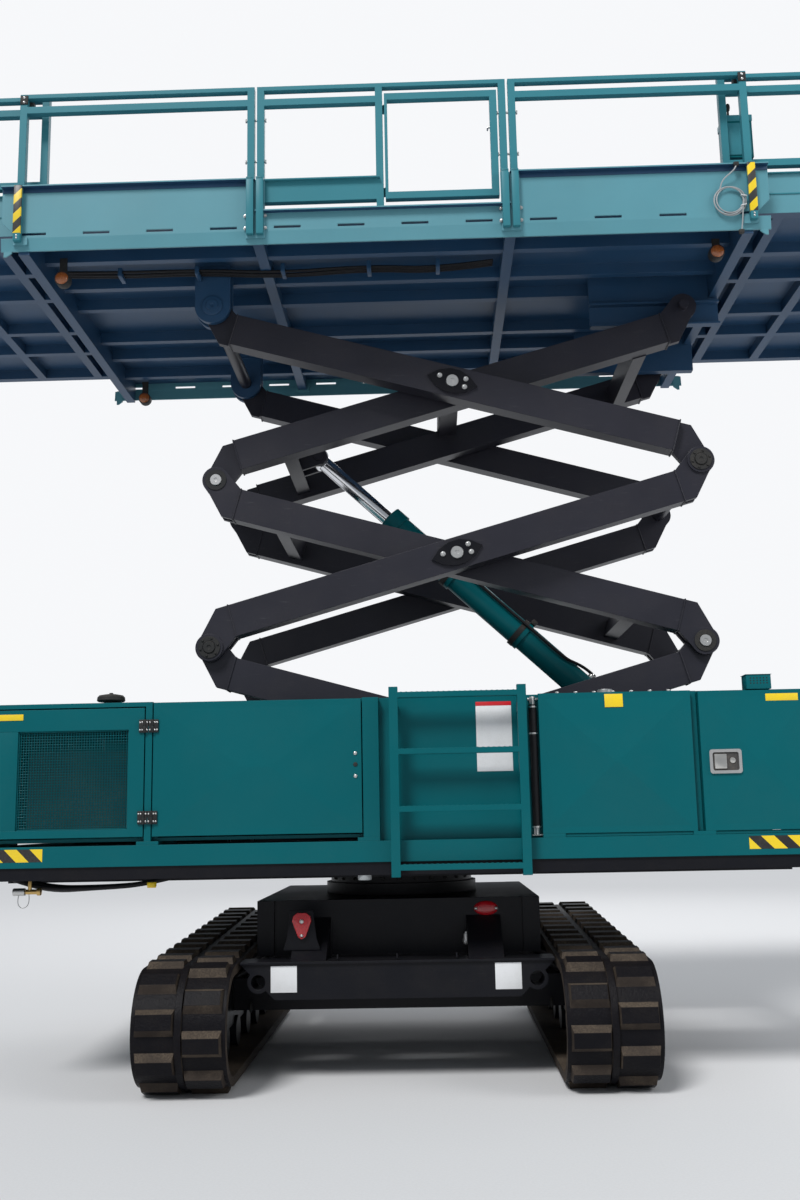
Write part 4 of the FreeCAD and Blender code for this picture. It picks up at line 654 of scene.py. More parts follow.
class LIFT_OT_doors(bpy.types.Operator):
    """Grille wire, hinges, seals, latches, locks and blank labels of the cabinets"""
    bl_idname = "lift.doors"
    bl_label = "Cabinet doors"

    def hinge(self, body, edge, hand, height, front):
        """One butt hinge: its halves ride on the door and on the frame."""
        tag = f"{body}_{round(height * 1000)}"
        face, half = front * FRONT, 0.0325
        out = face - front * 0.0095
        for owner, reach, part in ((body, -hand, "door"), ("upper_frame", hand, "frame")):
            narrow = part == "frame" and edge < 0
            bm = bmesh.new()
            add_box(bm, (edge + reach * 0.004, face, height - half),
                    (edge + reach * (0.019 if narrow else 0.0295), out, height + half), 0.0015)
            low = height - half - 0.0005 if part == "frame" else height + 0.0005
            add_rod(bm, (edge, face - front * 0.0085, low), UP, 0.0087, half, 0.001, 16)
            piece(f"hinge_{part}_{tag}", bm, owner, "dark_fitting")
            bm = bmesh.new()
            for dx in (0.0125,) if narrow else (0.012, 0.0235):
                for dz in (-0.019, 0.019):
                    add_dome(bm, (edge + reach * dx, out, height + dz), (0, -front, 0), 0.0052, 0.0035, 12)
            piece(f"hinge_bolts_{part}_{tag}", bm, owner, "zinc")

    def execute(self, context):
        for side, front in (("front", 1), ("back", -1)):
            for door, edge, hand in (("grille_door", -1.255, 1), ("plain_door", -1.215, -1),
                                     ("latch_door", BASE_END - 0.028, 1)):
                for height in (1.322, 1.780):
                    self.hinge(f"{door}_{side}", edge, hand, height, front)
            seal = bmesh.new()
            add_box(seal, (-2.118, front * (FRONT + 0.037), 1.860), (-1.262, front * (FRONT + 0.045), 1.890),
                    0.002)
            piece(f"door_seal_{side}", seal, "upper_frame", "hose_rubber")
            self.wire(side, front, context.scene.lift_sizes)
            self.latch(side, front)
            self.locks(side, front)
        self.labels()
        return {"FINISHED"}

    def labels(self):
        """Blank labels on the tank and on two of the front doors."""
        bm = bmesh.new()
        tilt = (Matrix.Translation((0, FRONT - 0.001, 1.893)) @ Matrix.Rotation(math.radians(-4.0), 4, "X")
                @ Matrix.Translation((0, -FRONT + 0.0045, -1.893)))
        add_box(bm, (1.076, FRONT - 0.0062, 1.826), (1.168, FRONT - 0.0050, 1.893), 0.0004, tilt)
        piece("tank_label", bm, "upper_frame", "yellow_plate")
        for name, body, left, low, right, high in (
                ("latch_label", "latch_door_front", 1.884, 1.842, 2.046, 1.878),
                ("grille_label", "grille_door_front", -2.060, 1.822, -1.880, 1.853)):
            bm = bmesh.new()
            add_box(bm, (left, FRONT - 0.0022, low), (right, FRONT, high), 0.0004)
            piece(name, bm, body, "yellow_plate")

    def wire(self, side, front, sizes):
        """Fine woven wire in place of the grille's coarse bars, its border and the plate beside it."""
        low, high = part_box(f"grille_mesh_{side}")
        thick = sizes.mesh_wire
        plane = (low[1] + high[1]) / 2
        bm = bmesh.new()
        for along, across, axis in ((2, 0, UP), (0, 2, ALONG)):
            wide = high[across] - low[across]
            count = int(wide / sizes.mesh_pitch)
            for i in range(1, count + 1):
                at = low[across] + wide * i / (count + 1)
                start = (at, plane, low[2]) if along == 2 else (low[0], plane + front * thick, at)
                add_rod(bm, start, axis, thick, high[along] - low[along], sides=6)
        mesh = piece(f"grille_wire_{side}", bm, f"grille_door_{side}", "teal_paint")
        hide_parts(f"grille_mesh_{side}")
        face = front * FRONT
        bm = bmesh.new()
        add_box(bm, (low[0] - 0.004, face + front * 0.0005, low[2] - 0.004),
                (GRILLE_LEFT, face + front * 0.012, high[2] + 0.004), 0.001)
        bar = 0.006
        for left, bottom, right, top in ((GRILLE_LEFT, low[2], high[0], low[2] + bar),
                                         (GRILLE_LEFT, high[2] - bar, high[0], high[2]),
                                         (GRILLE_LEFT, low[2], GRILLE_LEFT + bar, high[2]),
                                         (high[0] - bar, low[2], high[0], high[2])):
            add_box(bm, (left, face + front * 0.010, bottom), (right, face + front * 0.026, top), 0.001)
        piece(f"grille_border_{side}", bm, f"grille_door_{side}", "teal_paint")

    def latch(self, side, front):
        """Paddle latch: pressed tray, paddle and lock cylinder, square to the sloping pressing."""
        slope = math.atan2(0.015, 0.2615)
        turn = Matrix.Rotation(-slope if front > 0 else math.pi + slope, 4, "Z")
        middle = Matrix.Translation((1.664, front * (FRONT - 0.0055), 1.544)) @ turn
        out = turn @ Vector(OUT)
        hole = rounded(0.064, 0.045, 0.010)
        body = f"latch_door_{side}"
        bm = bmesh.new()
        add_ring(bm, rounded(0.079, 0.060, 0.014), hole, -0.008, 0.0, middle)
        piece(f"latch_rim_{side}", bm, body, "zinc")
        # Painted shade: the tray floor wears the dark iron grey instead of zinc, for the shade in the recess
        bm = bmesh.new()
        add_profile(bm, hole, 0.0015, 0, middle @ Matrix.Translation((0, -0.0015, 0)))
        piece(f"latch_tray_{side}", bm, body, "engine_iron_and_tray_shade")
        bm = bmesh.new()
        add_profile(bm, rounded(0.030, 0.036, 0.004), 0.010, 0.0015,
                    middle @ Matrix.Translation((-0.026, -0.0115, 0)))
        add_rod(bm, middle @ Vector((0.034, 0, 0.004)), out, 0.014, 0.007, 0.001)
        add_rod(bm, middle @ Vector((0.034, -0.007, 0.004)), out, 0.008, 0.003, 0.0006, 20)
        piece(f"latch_paddle_{side}", bm, body, "latch_steel")

    def locks(self, side, front):
        """Two bolts and a key hole on the plain door."""
        x, body = -0.187, f"plain_door_{side}"
        bm = bmesh.new()
        for height in (1.622, 1.508):
            add_dome(bm, (x, front * (FRONT - 0.0005), height), (0, -front, 0), 0.0105, 0.006)
        piece(f"lock_bolts_{side}", bm, body, "zinc")
        bm = bmesh.new()
        add_rod(bm, (x, front * FRONT, 1.566), (0, -front, 0), 0.011, 0.003, 0.0008, 20)
        piece(f"key_hole_{side}", bm, body, "dark_fitting")


class LIFT_OT_roof(bpy.types.Operator):
    """Breather cap, filler cap, horn box and bolts on the cabinets' tops"""
    bl_idname = "lift.roof"
    bl_label = "Roof fittings"

    def execute(self, context):
        sizes = context.scene.lift_sizes
        x, back = -1.476, FRONT + 0.170
        cap = bmesh.new()
        spin_profile(cap, (x, back, ROOF), UP,
                     [(0.0, 0.0), (0.040, 0.0), (0.042, 0.006), (0.036, 0.012), (0.036, 0.020),
                      (0.068, 0.022), (0.073, 0.027), (0.071, 0.044), (0.062, 0.054), (0.030, 0.060),
                      (0.0, 0.061)], 40)
        add_rod(cap, (x, back, ROOF + 0.058), UP, 0.011, 0.010, 0.002, 6)
        whole = piece("breather_cap", cap, "upper_frame", "dark_fitting")
        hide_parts("roof_fittings")
        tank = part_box("tank_front")[0][0]
        filler = bmesh.new()
        spin_profile(filler, ((tank + TANK_END) / 2 - 0.02, back, ROOF), UP,
                     [(0.0, 0.0), (0.046, 0.0), (0.048, 0.004), (0.048, 0.008), (0.040, 0.011),
                      (0.040, 0.026), (0.037, 0.030), (0.0, 0.034)])
        piece("filler_cap", filler, "upper_frame", "zinc")
        bolts = bmesh.new()
        for i in range(sizes.tank_bolts):
            x = tank + 0.10 + (TANK_END - tank - 0.20) * i / (sizes.tank_bolts - 1)
            add_bolt(bolts, (x, FRONT + 0.045, ROOF), UP, sizes.bolt)
        piece("tank_bolts", bolts, "upper_frame", "zinc")
        horn = bmesh.new()
        left, right, near, far, top = 1.795, 1.920, FRONT + 0.004, FRONT + 0.098, ROOF + 0.073
        add_box(horn, (left, near, ROOF), (right, far, top), 0.003)
        add_box(horn, (left - 0.004, near - 0.004, top), (right + 0.004, far + 0.004, top + 0.002), 0.0008)
        piece("horn_box", horn, "upper_frame", "teal_paint")
        # Painted shade: thin dark discs on the box face stand in for the shaded holes of the perforation
        hole_shades = bmesh.new()
        for row in range(3):
            for column in range(6):
                start = (left + 0.022 + column * 0.0165, near, ROOF + 0.030 + row * 0.013)
                add_rod(hole_shades, start, OUT, 0.0035, 0.0006, sides=12)
        piece("horn_hole_shade_discs", hole_shades, "upper_frame", "dark_fitting")
        return {"FINISHED"}


class LIFT_OT_base(bpy.types.Operator):
    """Warning tape, packing, sign, bay pipe, rung grips and drain fittings of the upper frame"""
    bl_idname = "lift.base"
    bl_label = "Upper frame fittings"

    def execute(self, context):
        tape, sill = bmesh.new(), bmesh.new()
        for front in (1, -1):
            for low, high in ((-BASE_END, -1.761), (1.755, BASE_END)):
                add_box(tape, (low, front * FRONT, 1.113), (high, front * (FRONT - 0.0008), 1.176))
            add_box(sill, (0.765, front * (FRONT + 0.006), 1.1875),
                    (BASE_END - 0.006, front * (FRONT + 0.030), 1.2035), 0.001)
        piece("side_tape", tape, "upper_frame", "tape")
        piece("sill_packing", sill, "upper_frame", "teal_paint")
        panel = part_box("ladder_panel")[0][1]
        for name, finish, thick, low, high in (("blank_sign", "white_plate", 0.0015, 1.520, 1.851),
                                               ("blank_sign_band", "red_band", 0.0018, 1.851, 1.872)):
            sign = bmesh.new()
            add_box(sign, (0.427, panel - thick, low), (0.608, panel, high), 0.0005)
            piece(name, sign, "upper_frame", finish)
        self.bay_pipe()
        feet = bmesh.new()
        for x in (-2.10, -1.270, -1.205, -0.150, -0.097, 0.775, 1.490, 1.575, 2.10):
            add_bolt(feet, (x, FRONT + 0.020, 1.187), UP, 0.009)
        piece("foot_bolts", feet, "upper_frame", "zinc")
        bush = bmesh.new()
        add_rod(bush, (-0.150, -1.205, 0.995), UP, 0.034, 0.090, 0.004, 32)
        piece("frame_bush", bush, "upper_frame", "cable_jacket", "rod_chrome")
        self.under()
        self.grips()
        return {"FINISHED"}

    def bay_pipe(self):
        """Upright hose beside the ladder, with its ends, bands and clamps."""
        x, y = 0.714, -1.222
        pipe = bmesh.new()
        add_rod(pipe, (x, y, 1.235), UP, 0.0205, 0.615, 0.002)
        piece("bay_pipe", pipe, "upper_frame", "hose_rubber")
        ends = bmesh.new()
        for low, tall in ((1.200, 0.040), (1.845, 0.045)):
            add_rod(ends, (x, y, low), UP, 0.017, tall, 0.002, 6)
        for height in (1.236, 1.700, 1.834):
            add_rod(ends, (x, y, height), UP, 0.0222, 0.008, 0.001)
        for low, high in ((1.874, 1.884), (1.196, 1.204)):
            add_box(ends, (0.690, y, low), (0.745, -1.196, high), 0.002)
        piece("bay_pipe_ends", ends, "upper_frame", "zinc")

    def grips(self):
        """Raised dimples on the ladder's rungs."""
        (left, near, _), (right, _, _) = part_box("ladder")
        bm = bmesh.new()
        middle, rise, half, margin, count = 1.056, 0.283, 0.014, 0.062, 22
        for rung in range(4):
            top = middle + rise * rung + half
            for i in range(count):
                x = left + margin + (right - left - 2 * margin) * i / (count - 1)
                for shift, y in ((0, near + 0.013), (0.006, near + 0.029)):
                    add_rod(bm, (x + shift, y, top - 0.0005), UP, 0.006, 0.003, sides=10, top=0.0035)
        piece("rung_grips", bm, "upper_frame", "teal_paint")

    def under(self):
        """Drain fittings, pipes and a wire loop under the left end."""
        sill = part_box("chassis")[0][2]
        y, z = -1.12, sill - 0.028
        brass = bmesh.new()
        add_rod(brass, (-1.880, y, z), ALONG, 0.014, 0.060, 0.002, 6)
        add_rod(brass, (-1.822, y, z), ALONG, 0.019, 0.020, 0.003, 12)
        add_rod(brass, (-1.860, y, z), UP, 0.010, 0.060, 0.001, 6)
        piece("drain_brass", brass, "upper_frame", "brass")
        steel = bmesh.new()
        add_rod(steel, (-1.945, y, z), ALONG, 0.019, 0.062, 0.003, 20)
        add_tube(steel, smooth_path([(-1.915, y, sill - 0.040), (-1.925, -1.125, sill - 0.085),
                                     (-1.890, -1.13, sill - 0.115), (-1.855, -1.125, sill - 0.085),
                                     (-1.865, y, sill - 0.035)]), 0.0022, 8)
        piece("drain_steel", steel, "upper_frame", "zinc")
        cap = bmesh.new()
        add_rod(cap, (-1.235, -1.13, sill - 0.012), UP, 0.024, 0.022, 0.003)
        add_box(cap, (-1.257, -1.135, sill - 0.018), (-1.213, -1.125, sill - 0.010), 0.002)
        piece("drain_cap", cap, "upper_frame", "yellow_plate")
        hoses = bmesh.new()
        for shift, low in ((0.0, 0.0), (0.045, -0.012), (0.095, 0.006)):
            add_tube(hoses, smooth_path([(-2.02, -1.08 + shift, sill + 0.06),
                                         (-1.85, -1.09 + shift, sill - 0.02 + low),
                                         (-1.50, -1.07 + shift, sill - 0.018), (-1.25, -1.06 + shift, sill),
                                         (-1.02, -1.00 + shift, sill + 0.06)]), 0.012)
        piece("drain_hoses", hoses, "upper_frame", "hose_rubber")


class LIFT_OT_platform(bpy.types.Operator):
    """Post sockets, tape, bolts, lamps, cable coil and underside fittings of the platform"""
    bl_idname = "lift.platform"
    bl_label = "Platform fittings"

    def execute(self, context):
        for front, side in ((1, "front"), (-1, "back")):
            self.sockets(front * SIDE, front, side, context.scene.lift_sizes)
            self.shade_strips(front * SIDE, front, side)
            self.rail_pins(front, side)
        self.cable()
        self.lamps()
        self.guides()
        self.underside()
        self.gate_latch()
        return {"FINISHED"}

    def sockets(self, face, front, side, sizes):
        """Square sockets that hold the posts in front of the side plate."""
        shoes, tape, bolts = bmesh.new(), bmesh.new(), bmesh.new()
        proud = face - front * 0.036
        for x, near in ((-0.727, 0.008), (-0.673, 0.008), (0.673, 0.008), (0.727, 0.008),
                        (-POST_END, 0.0), (POST_END, 0.0)):
            add_box(shoes, (x - 0.020, proud, FOLD), (x + 0.020, face - front * near, FOLD + 0.336),
                    sizes.edge)
            add_box(shoes, (x - 0.017, proud, FOLD + 0.322),
                    (x + 0.017, front * (SIDE + 0.040), FOLD + 0.332), 0.001)
            if near:
                outer = x - math.copysign(0.0265, x) * (1 if abs(x) < 0.7 else -1)
                for height in (0.043, 0.115):
                    add_bolt(bolts, (outer, face - front * 0.008, FOLD + height), (0, -front, 0),
                             sizes.bolt * 0.75)
            else:
                add_box(tape, (x - 0.0212, proud - front * 0.0012, FOLD + 0.044),
                        (x + 0.0212, proud + front * 0.012, FOLD + 0.326), 0.0008)
                for height in (0.016, 0.030):
                    add_dome(bolts, (x, proud, FOLD + height), (0, -front, 0), 0.006, 0.004)
        piece(f"post_sockets_{side}", shoes, "platform", "rail_paint")
        piece(f"post_tape_{side}", tape, "platform", "post_tape")
        piece(f"socket_bolts_{side}", bolts, "platform", "zinc")

    def shade_strips(self, face, front, side):
        """Painted shade: dark strips in the underside paint under the side plate's top flange, left and right
        of the middle section, standing in for the flange's shade.
        """
        (left, _, _), (right, _, top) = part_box(f"side_plate_{side}")
        bm = bmesh.new()
        for low, high in ((left + 0.002, -0.750), (0.750, right - 0.002)):
            add_box(bm, (low, face + front * 0.0005, top - 0.034), (high, face - front * 0.004, top - 0.007),
                    0.001)
        piece(f"side_plate_shade_strips_{side}", bm, "platform", "underside_shade_paint")

    def rail_pins(self, front, side):
        """Pins that join the paired posts."""
        bm = bmesh.new()
        for x in (-0.7, 0.7):
            for height in (4.90, 5.15):
                for shift, radius, length, sides in ((-0.055, 0.006, 0.110, 12), (-0.060, 0.011, 0.008, 6),
                                                     (0.050, 0.011, 0.008, 6)):
                    add_rod(bm, (x + shift, front * -1.204, height), ALONG, radius, length, 0.001, sides)
        piece(f"rail_pins_{side}", bm, "platform", "zinc")

    def cable(self):
        """Grey control cable in loose turns, tied beside the post."""
        middle = Vector((1.885, SIDE - 0.0125, DECK_LOW + 0.190))
        points = [(1.928, SIDE - 0.034, FOLD + 0.318), (1.926, SIDE - 0.038, FOLD + 0.300),
                  (1.900, SIDE - 0.036, FOLD + 0.270), (1.850, SIDE - 0.020, FOLD + 0.235)]
        turns, steps = 2.7, 40
        for i in range(steps + 1):
            share = i / steps
            angle = math.radians(125) + share * turns * 2 * math.pi
            radius = 0.082 + 0.007 * math.sin(share * 9.0) - 0.004 * share
            points.append(middle + Vector((radius * math.cos(angle) + 0.004 * math.sin(5 * share),
                                           -0.008 * share, radius * math.sin(angle))))
        points += [(1.948, SIDE - 0.020, FOLD + 0.010), (1.944, SIDE - 0.012, FOLD - 0.030),
                   (1.940, SIDE - 0.006, FOLD - 0.060)]
        bm = bmesh.new()
        add_tube(bm, smooth_path(points, 4), 0.0038)
        whole = piece("cable_coil", bm, "platform", "cable_jacket")
        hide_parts("control_cable")
        ties = bmesh.new()
        for x, z, turn in ((1.962, DECK_LOW + 0.215, 12), (1.958, DECK_LOW + 0.160, -14)):
            place = Matrix.Translation((x, SIDE - 0.0165, z)) @ Matrix.Rotation(math.radians(turn), 4, "Y")
            add_box(ties, (-0.016, -0.010, -0.002), (0.016, 0.006, 0.002), 0.0008, place)
        piece("cable_ties", ties, "platform", "white_plate")
        clips = bmesh.new()
        for x, z, deep in ((1.928, FOLD + 0.318, 0.034), (1.940, FOLD - 0.062, 0.006)):
            add_box(clips, (x - 0.014, SIDE - deep - 0.008, z - 0.010),
                    (x + 0.014, SIDE - deep + 0.012, z + 0.012), 0.002)
        piece("cable_clips", clips, "platform", "dark_fitting")

    def lamps(self):
        """Amber lamps on brackets below the platform."""
        lens, holders = bmesh.new(), bmesh.new()
        for x, z in ((-1.825, 4.330), (1.857, 4.375)):
            for y in (-1.0, 1.0):
                add_box(holders, (x - 0.022, y - 0.003, z), (x + 0.022, y + 0.003, 4.462), 0.001)
                add_rod(holders, (x, y - 0.030, z), (0, 1, 0), 0.043, 0.060, 0.005)
                add_dome(lens, (x, y - 0.030, z), OUT, 0.037, 0.016)
        piece("lamp_holders", holders, "platform", "dark_fitting")
        piece("lamp_lenses", lens, "platform", "amber_lens")

    def guides(self):
        """Guide blocks beside the extension rails, on the end posts."""
        blocks, bolts = bmesh.new(), bmesh.new()
        for x in (-1, 1):
            for front in (-1, 1):
                add_box(blocks, (x * 1.972, front * 1.186, 5.278), (x * 2.040, front * 1.128, 5.342), 0.004)
                outer = front * 1.2225
                add_box(blocks, (x * 1.984, outer, 5.284), (x * 2.028, outer + front * 0.006, 5.338), 0.002)
                for height in (5.297, 5.325):
                    add_dome(bolts, (x * 2.006, outer + front * 0.006, height), (0, front, 0), 0.008, 0.005)
        piece("rail_guides", blocks, "platform", "dark_fitting")
        piece("guide_bolts", bolts, "platform", "zinc")

    def underside(self):
        """Hoses and their clips below the floor."""
        hoses, clips = bmesh.new(), bmesh.new()
        for y, dip in ((-0.800, 0.0), (-0.772, 0.010), (-0.742, 0.004)):
            add_tube(hoses, smooth_path([(-1.88, y, 4.470), (-1.55, y - 0.01, 4.455 - dip), (-1.1, y, 4.462),
                                         (-0.60, y + 0.012, 4.438 - dip), (-0.10, y, 4.458),
                                         (0.30, y + 0.02, 4.440), (0.62, y, 4.470)]), 0.009, 8)
        for x in (-1.55, -1.1, -0.60, -0.10, 0.30):
            add_box(clips, (x - 0.012, -0.825, 4.428), (x + 0.012, -0.715, 4.480), 0.003)
        piece("deck_hoses", hoses, "platform", "hose_rubber")
        # Painted shade: the clips wear the darker underside paint
        piece("deck_hose_clips", clips, "platform", "underside_shade_paint")

    def gate_latch(self):
        """Spring bolt and its handle on the gate."""
        low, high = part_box("gate")
        x, y, z = high[0], low[1] + 0.052, (low[2] + high[2]) / 2 + 0.12
        bm = bmesh.new()
        add_box(bm, (x - 0.038, y - 0.012, z - 0.030), (x - 0.002, y - 0.008, z + 0.030), 0.001)
        add_rod(bm, (x - 0.036, y, z), ALONG, 0.010, 0.032, 0.001, 16)
        add_rod(bm, (x - 0.052, y, z), ALONG, 0.006, 0.052, 0.001, 12)
        add_rod(bm, (x - 0.050, y, z), (0, 1, 0), 0.005, 0.030, 0.001, 12)
        piece("gate_latch", bm, "gate", "zinc")


class LIFT_OT_extensions(bpy.types.Operator):
    """Toe board folds, rail brackets and the control box of the extension decks"""
    bl_idname = "lift.extensions"
    bl_label = "Extension decks"

    def execute(self, context):
        bolt = context.scene.lift_sizes.bolt * 0.8
        for side, body in ((1, "extension_right"), (-1, "extension_left")):
            (left, _, low), (right, _, top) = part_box(body)
            fold, brackets, bolts = bmesh.new(), bmesh.new(), bmesh.new()
            for front in (-1, 1):
                face = front * 1.130
                add_box(fold, (left, face, low + 0.110), (right, front * 1.1345, low + 0.118), 0.0015)
                add_box(fold, (left, face, top - 0.006), (right, front * 1.146, top), 0.001)
                for x in (side * 1.917, side * 3.0):
                    add_box(brackets, (x - 0.034, face, low + 0.128), (x + 0.034, front * 1.138, top - 0.012),
                            0.002)
                    for height in (low + 0.148, top - 0.034):
                        add_bolt(bolts, (x, front * 1.138, height), (0, front, 0), bolt)
            piece(f"toe_folds_{body}", fold, body, "rail_paint")
            piece(f"toe_brackets_{body}", brackets, body, "rail_paint")
            piece(f"toe_bolts_{body}", bolts, body, "zinc")
        self.control_box()
        return {"FINISHED"}

    def control_box(self):
        """Lid, stick, push buttons and glands of the control box."""
        (left, near, low), (right, far, high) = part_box("control_box")
        body, middle, top = "extension_right", (near + far) / 2, high + 0.0055
        lid = bmesh.new()
        add_box(lid, (left - 0.004, near - 0.004, high - 0.034), (right + 0.004, far + 0.004, high + 0.004),
                0.003)
        add_box(lid, (left + 0.010, near - 0.0045, low + 0.014), (right - 0.010, near, high - 0.046), 0.0015)
        piece("control_lid", lid, body, "rail_paint", "cabinet_paint")
        dark = bmesh.new()
        add_box(dark, (left + 0.008, near + 0.010, high + 0.004), (right - 0.008, far - 0.010, top), 0.0005)
        spin_profile(dark, (left + 0.045, middle, top), UP,
                     [(0, 0), (0.022, 0.0), (0.021, 0.004), (0.016, 0.008), (0.017, 0.012), (0.012, 0.016),
                      (0.013, 0.020), (0.007, 0.025), (0.0055, 0.060), (0.010, 0.066), (0.0135, 0.085),
                      (0.0115, 0.102), (0.005, 0.108), (0, 0.109)], 24)
        for i in range(3):
            start = (left + 0.090 + 0.018 * i, near + 0.035, high + 0.005)
            add_rod(dark, start, UP, 0.006, 0.009, 0.001, 16)
        for x in (left + 0.030, right - 0.030):
            add_rod(dark, (x, middle, low - 0.018), UP, 0.012, 0.020, 0.002, 6)
        piece("control_parts", dark, body, "dark_fitting")
        stop = bmesh.new()
        button = (right - 0.034, far - 0.040, top)
        spin_profile(stop, button, UP, [(0, 0), (0.008, 0), (0.008, 0.012), (0.017, 0.014), (0.019, 0.020),
                                        (0.016, 0.027), (0, 0.030)], 24)
        piece("stop_button", stop, body, "red_band", "cabinet_paint")
        ring = bmesh.new()
        add_ring(ring, circle(0.026), circle(0.010), -0.0015, 0.0,
                 Matrix.Translation(button) @ Matrix.Rotation(math.pi / 2, 4, "X"))
        piece("stop_ring", ring, body, "yellow_plate")


class LIFT_OT_scissor(bpy.types.Operator):
    """Lens faces, pin heads, washers, bolts, welds and valve block of the arms"""
    bl_idname = "lift.scissor"
    bl_label = "Scissor arms"

    def head(self, bm, at, front, radius):
        """Turned pin head with a centre drilling."""
        spin_profile(bm, at, (0, -front, 0),
                     [(0, -0.001), (radius, -0.001), (radius, 0.006), (radius * 0.93, 0.009),
                      (radius * 0.35, 0.009), (radius * 0.30, 0.006), (0, 0.005)], 28)

    def execute(self, context):
        bolt = context.scene.lift_sizes.bolt
        quarter = ((0.150, 0), (0.093, 0.0475), (0.030, 0.072))
        upper = quarter + tuple((-x, z) for x, z in reversed(quarter))
        corners = upper + tuple((-x, -z) for x, z in upper[1:-1])
        for stage, slope in ((1, -1), (2, 1), (3, -1)):
            place = arm_place(stage, slope)
            bolts, heads, faces = bmesh.new(), bmesh.new(), bmesh.new()
            for front in (1, -1):
                near = min(-front * (OUTER_PIN - 0.0025), -front * (OUTER_PIN + 0.0005))
                add_ring(faces, [(x * 0.99, z * 0.99) for x, z in corners], circle(0.040, 10), near,
                         near + 0.003, place)
                for x, z in ((-0.078, 0.014), (0.074, 0.028), (0.078, -0.020)):
                    spot = (x, -front * (OUTER_PIN + 0.0003), z * front)
                    add_bolt(bolts, spot, (0, -front, 0), bolt, place)
                self.head(heads, place @ Vector((0, -front * OUTER_PIN, 0)), front, 0.036)
            outer = f"outer_arms_{stage}"
            piece(f"lens_faces_{stage}", faces, outer, "black_paint", "arm_paint", smooth=False)
            piece(f"lens_bolts_{stage}", bolts, outer, "zinc")
            piece(f"middle_heads_{stage}", heads, f"inner_arms_{stage}", "zinc")
        self.ends(bolt * 0.5)
        self.welds()
        self.valves()
        return {"FINISHED"}

    def ends(self, bolt):
        """Heads and dark washers on the pins at the arms' ends, with bolts on the outer arms."""
        for body, deep, places in (("outer_arms_2", OUTER_PIN, ((LEFT_PINS, 1), (RIGHT_PINS, 2))),
                                   ("inner_arms_2", INNER_PIN, ((LEFT_PINS, 2), (RIGHT_PINS, 1)))):
            outside = body == "outer_arms_2"
            heads, washers, bolts = bmesh.new(), bmesh.new(), bmesh.new()
            for x, level in places:
                at = Vector((x, 0, PIN_LOW + STAGE_RISE * level))
                for front in (1, -1):
                    self.head(heads, at + Vector((0, -front * deep, 0)), front, 0.034)
                    outer = -front * (deep - 0.002)
                    near, far = sorted((outer, outer - front * 0.005))
                    add_ring(washers, circle(0.062), circle(0.036), near, far, Matrix.Translation(at))
                    for degrees in range(15, 375, 60) if outside else ():
                        turn = math.radians(degrees)
                        spot = Vector((0.050 * math.cos(turn), outer - front * 0.005, 0.050 * math.sin(turn)))
                        add_bolt(bolts, at + spot, (0, -front, 0), bolt)
            piece(f"end_heads_{body}", heads, body, "dark_fitting" if outside else "zinc", "rod_chrome")
            piece(f"end_washers_{body}", washers, body, "dark_fitting", "arm_paint")
            if outside:
                piece(f"end_bolts_{body}", bolts, body, "dark_fitting", "rod_chrome")
            else:
                bolts.free()
        ears = bmesh.new()
        for front in (1, -1):
            at = Vector((LEFT_PINS, -front * (OUTER_PIN - 0.012), PIN_LOW + 3 * STAGE_RISE))
            spin_profile(ears, at, (0, -front, 0),
                         [(0, 0), (0.060, 0), (0.060, 0.006), (0.052, 0.008), (0.036, 0.008), (0.034, 0.014),
                          (0.012, 0.014), (0.010, 0.010), (0, 0.010)])
        # Painted shade: the ear caps wear the darker underside paint
        piece("deck_ear_caps", ears, "platform", "underside_shade_paint")

    def welds(self):
        """Weld beads where the end fittings enter the box sections."""
        proud, half = 0.0015, 0.0935
        for stage, inner_slope in ((1, 1), (2, -1), (3, 1)):
            for kind, slope, (inner, outer) in (("inner", inner_slope, INNER_ARM),
                                                ("outer", -inner_slope, OUTER_ARM)):
                place = arm_place(stage, slope)
                bm = bmesh.new()
                for x in (0.160 - ARM_HALF, ARM_HALF - 0.160):
                    for front in (-1, 1):
                        near, far = sorted((front * (inner - proud), front * (outer + proud)))
                        loop = [Vector((x, y, z)) for y, z in ((near, -half), (far, -half), (far, half),
                                                               (near, half))]
                        for start, stop in zip(loop, loop[1:] + loop[:1]):
                            count = max(4, int((stop - start).length / 0.012))
                            path = [place @ start.lerp(stop, i / count) for i in range(count + 1)]
                            add_tube(bm, path, 0.0042, 6, 0.25)
                piece(f"welds_{kind}_arms_{stage}", bm, f"{kind}_arms_{stage}", "arm_enamel")

    def valves(self):
        """Valve block with its fittings on the top frame's cross tube."""
        place = arm_place(3, 1) @ Matrix.Translation((-1.030, -0.16, 0.058))
        block = bmesh.new()
        add_box(block, (-0.040, -0.075, 0.0), (0.040, 0.075, 0.070), 0.003, place)
        add_box(block, (-0.048, -0.085, 0.0), (0.048, 0.085, 0.006), 0.001, place)
        piece("valve_block", block, "inner_arms_3", "dark_fitting", "arm_paint")
        parts = bmesh.new()
        for y in (-0.050, -0.017, 0.017, 0.050):
            add_rod(parts, (0.0, y, 0.070), UP, 0.011, 0.018, 0.001, 6, place=place)
            add_rod(parts, (0.0, y, 0.088), UP, 0.008, 0.012, 0.001, 16, place=place)
            add_rod(parts, (0.040, y, 0.035), ALONG, 0.010, 0.016, 0.001, 6, place=place)
        piece("valve_fittings", parts, "inner_arms_3", "zinc")


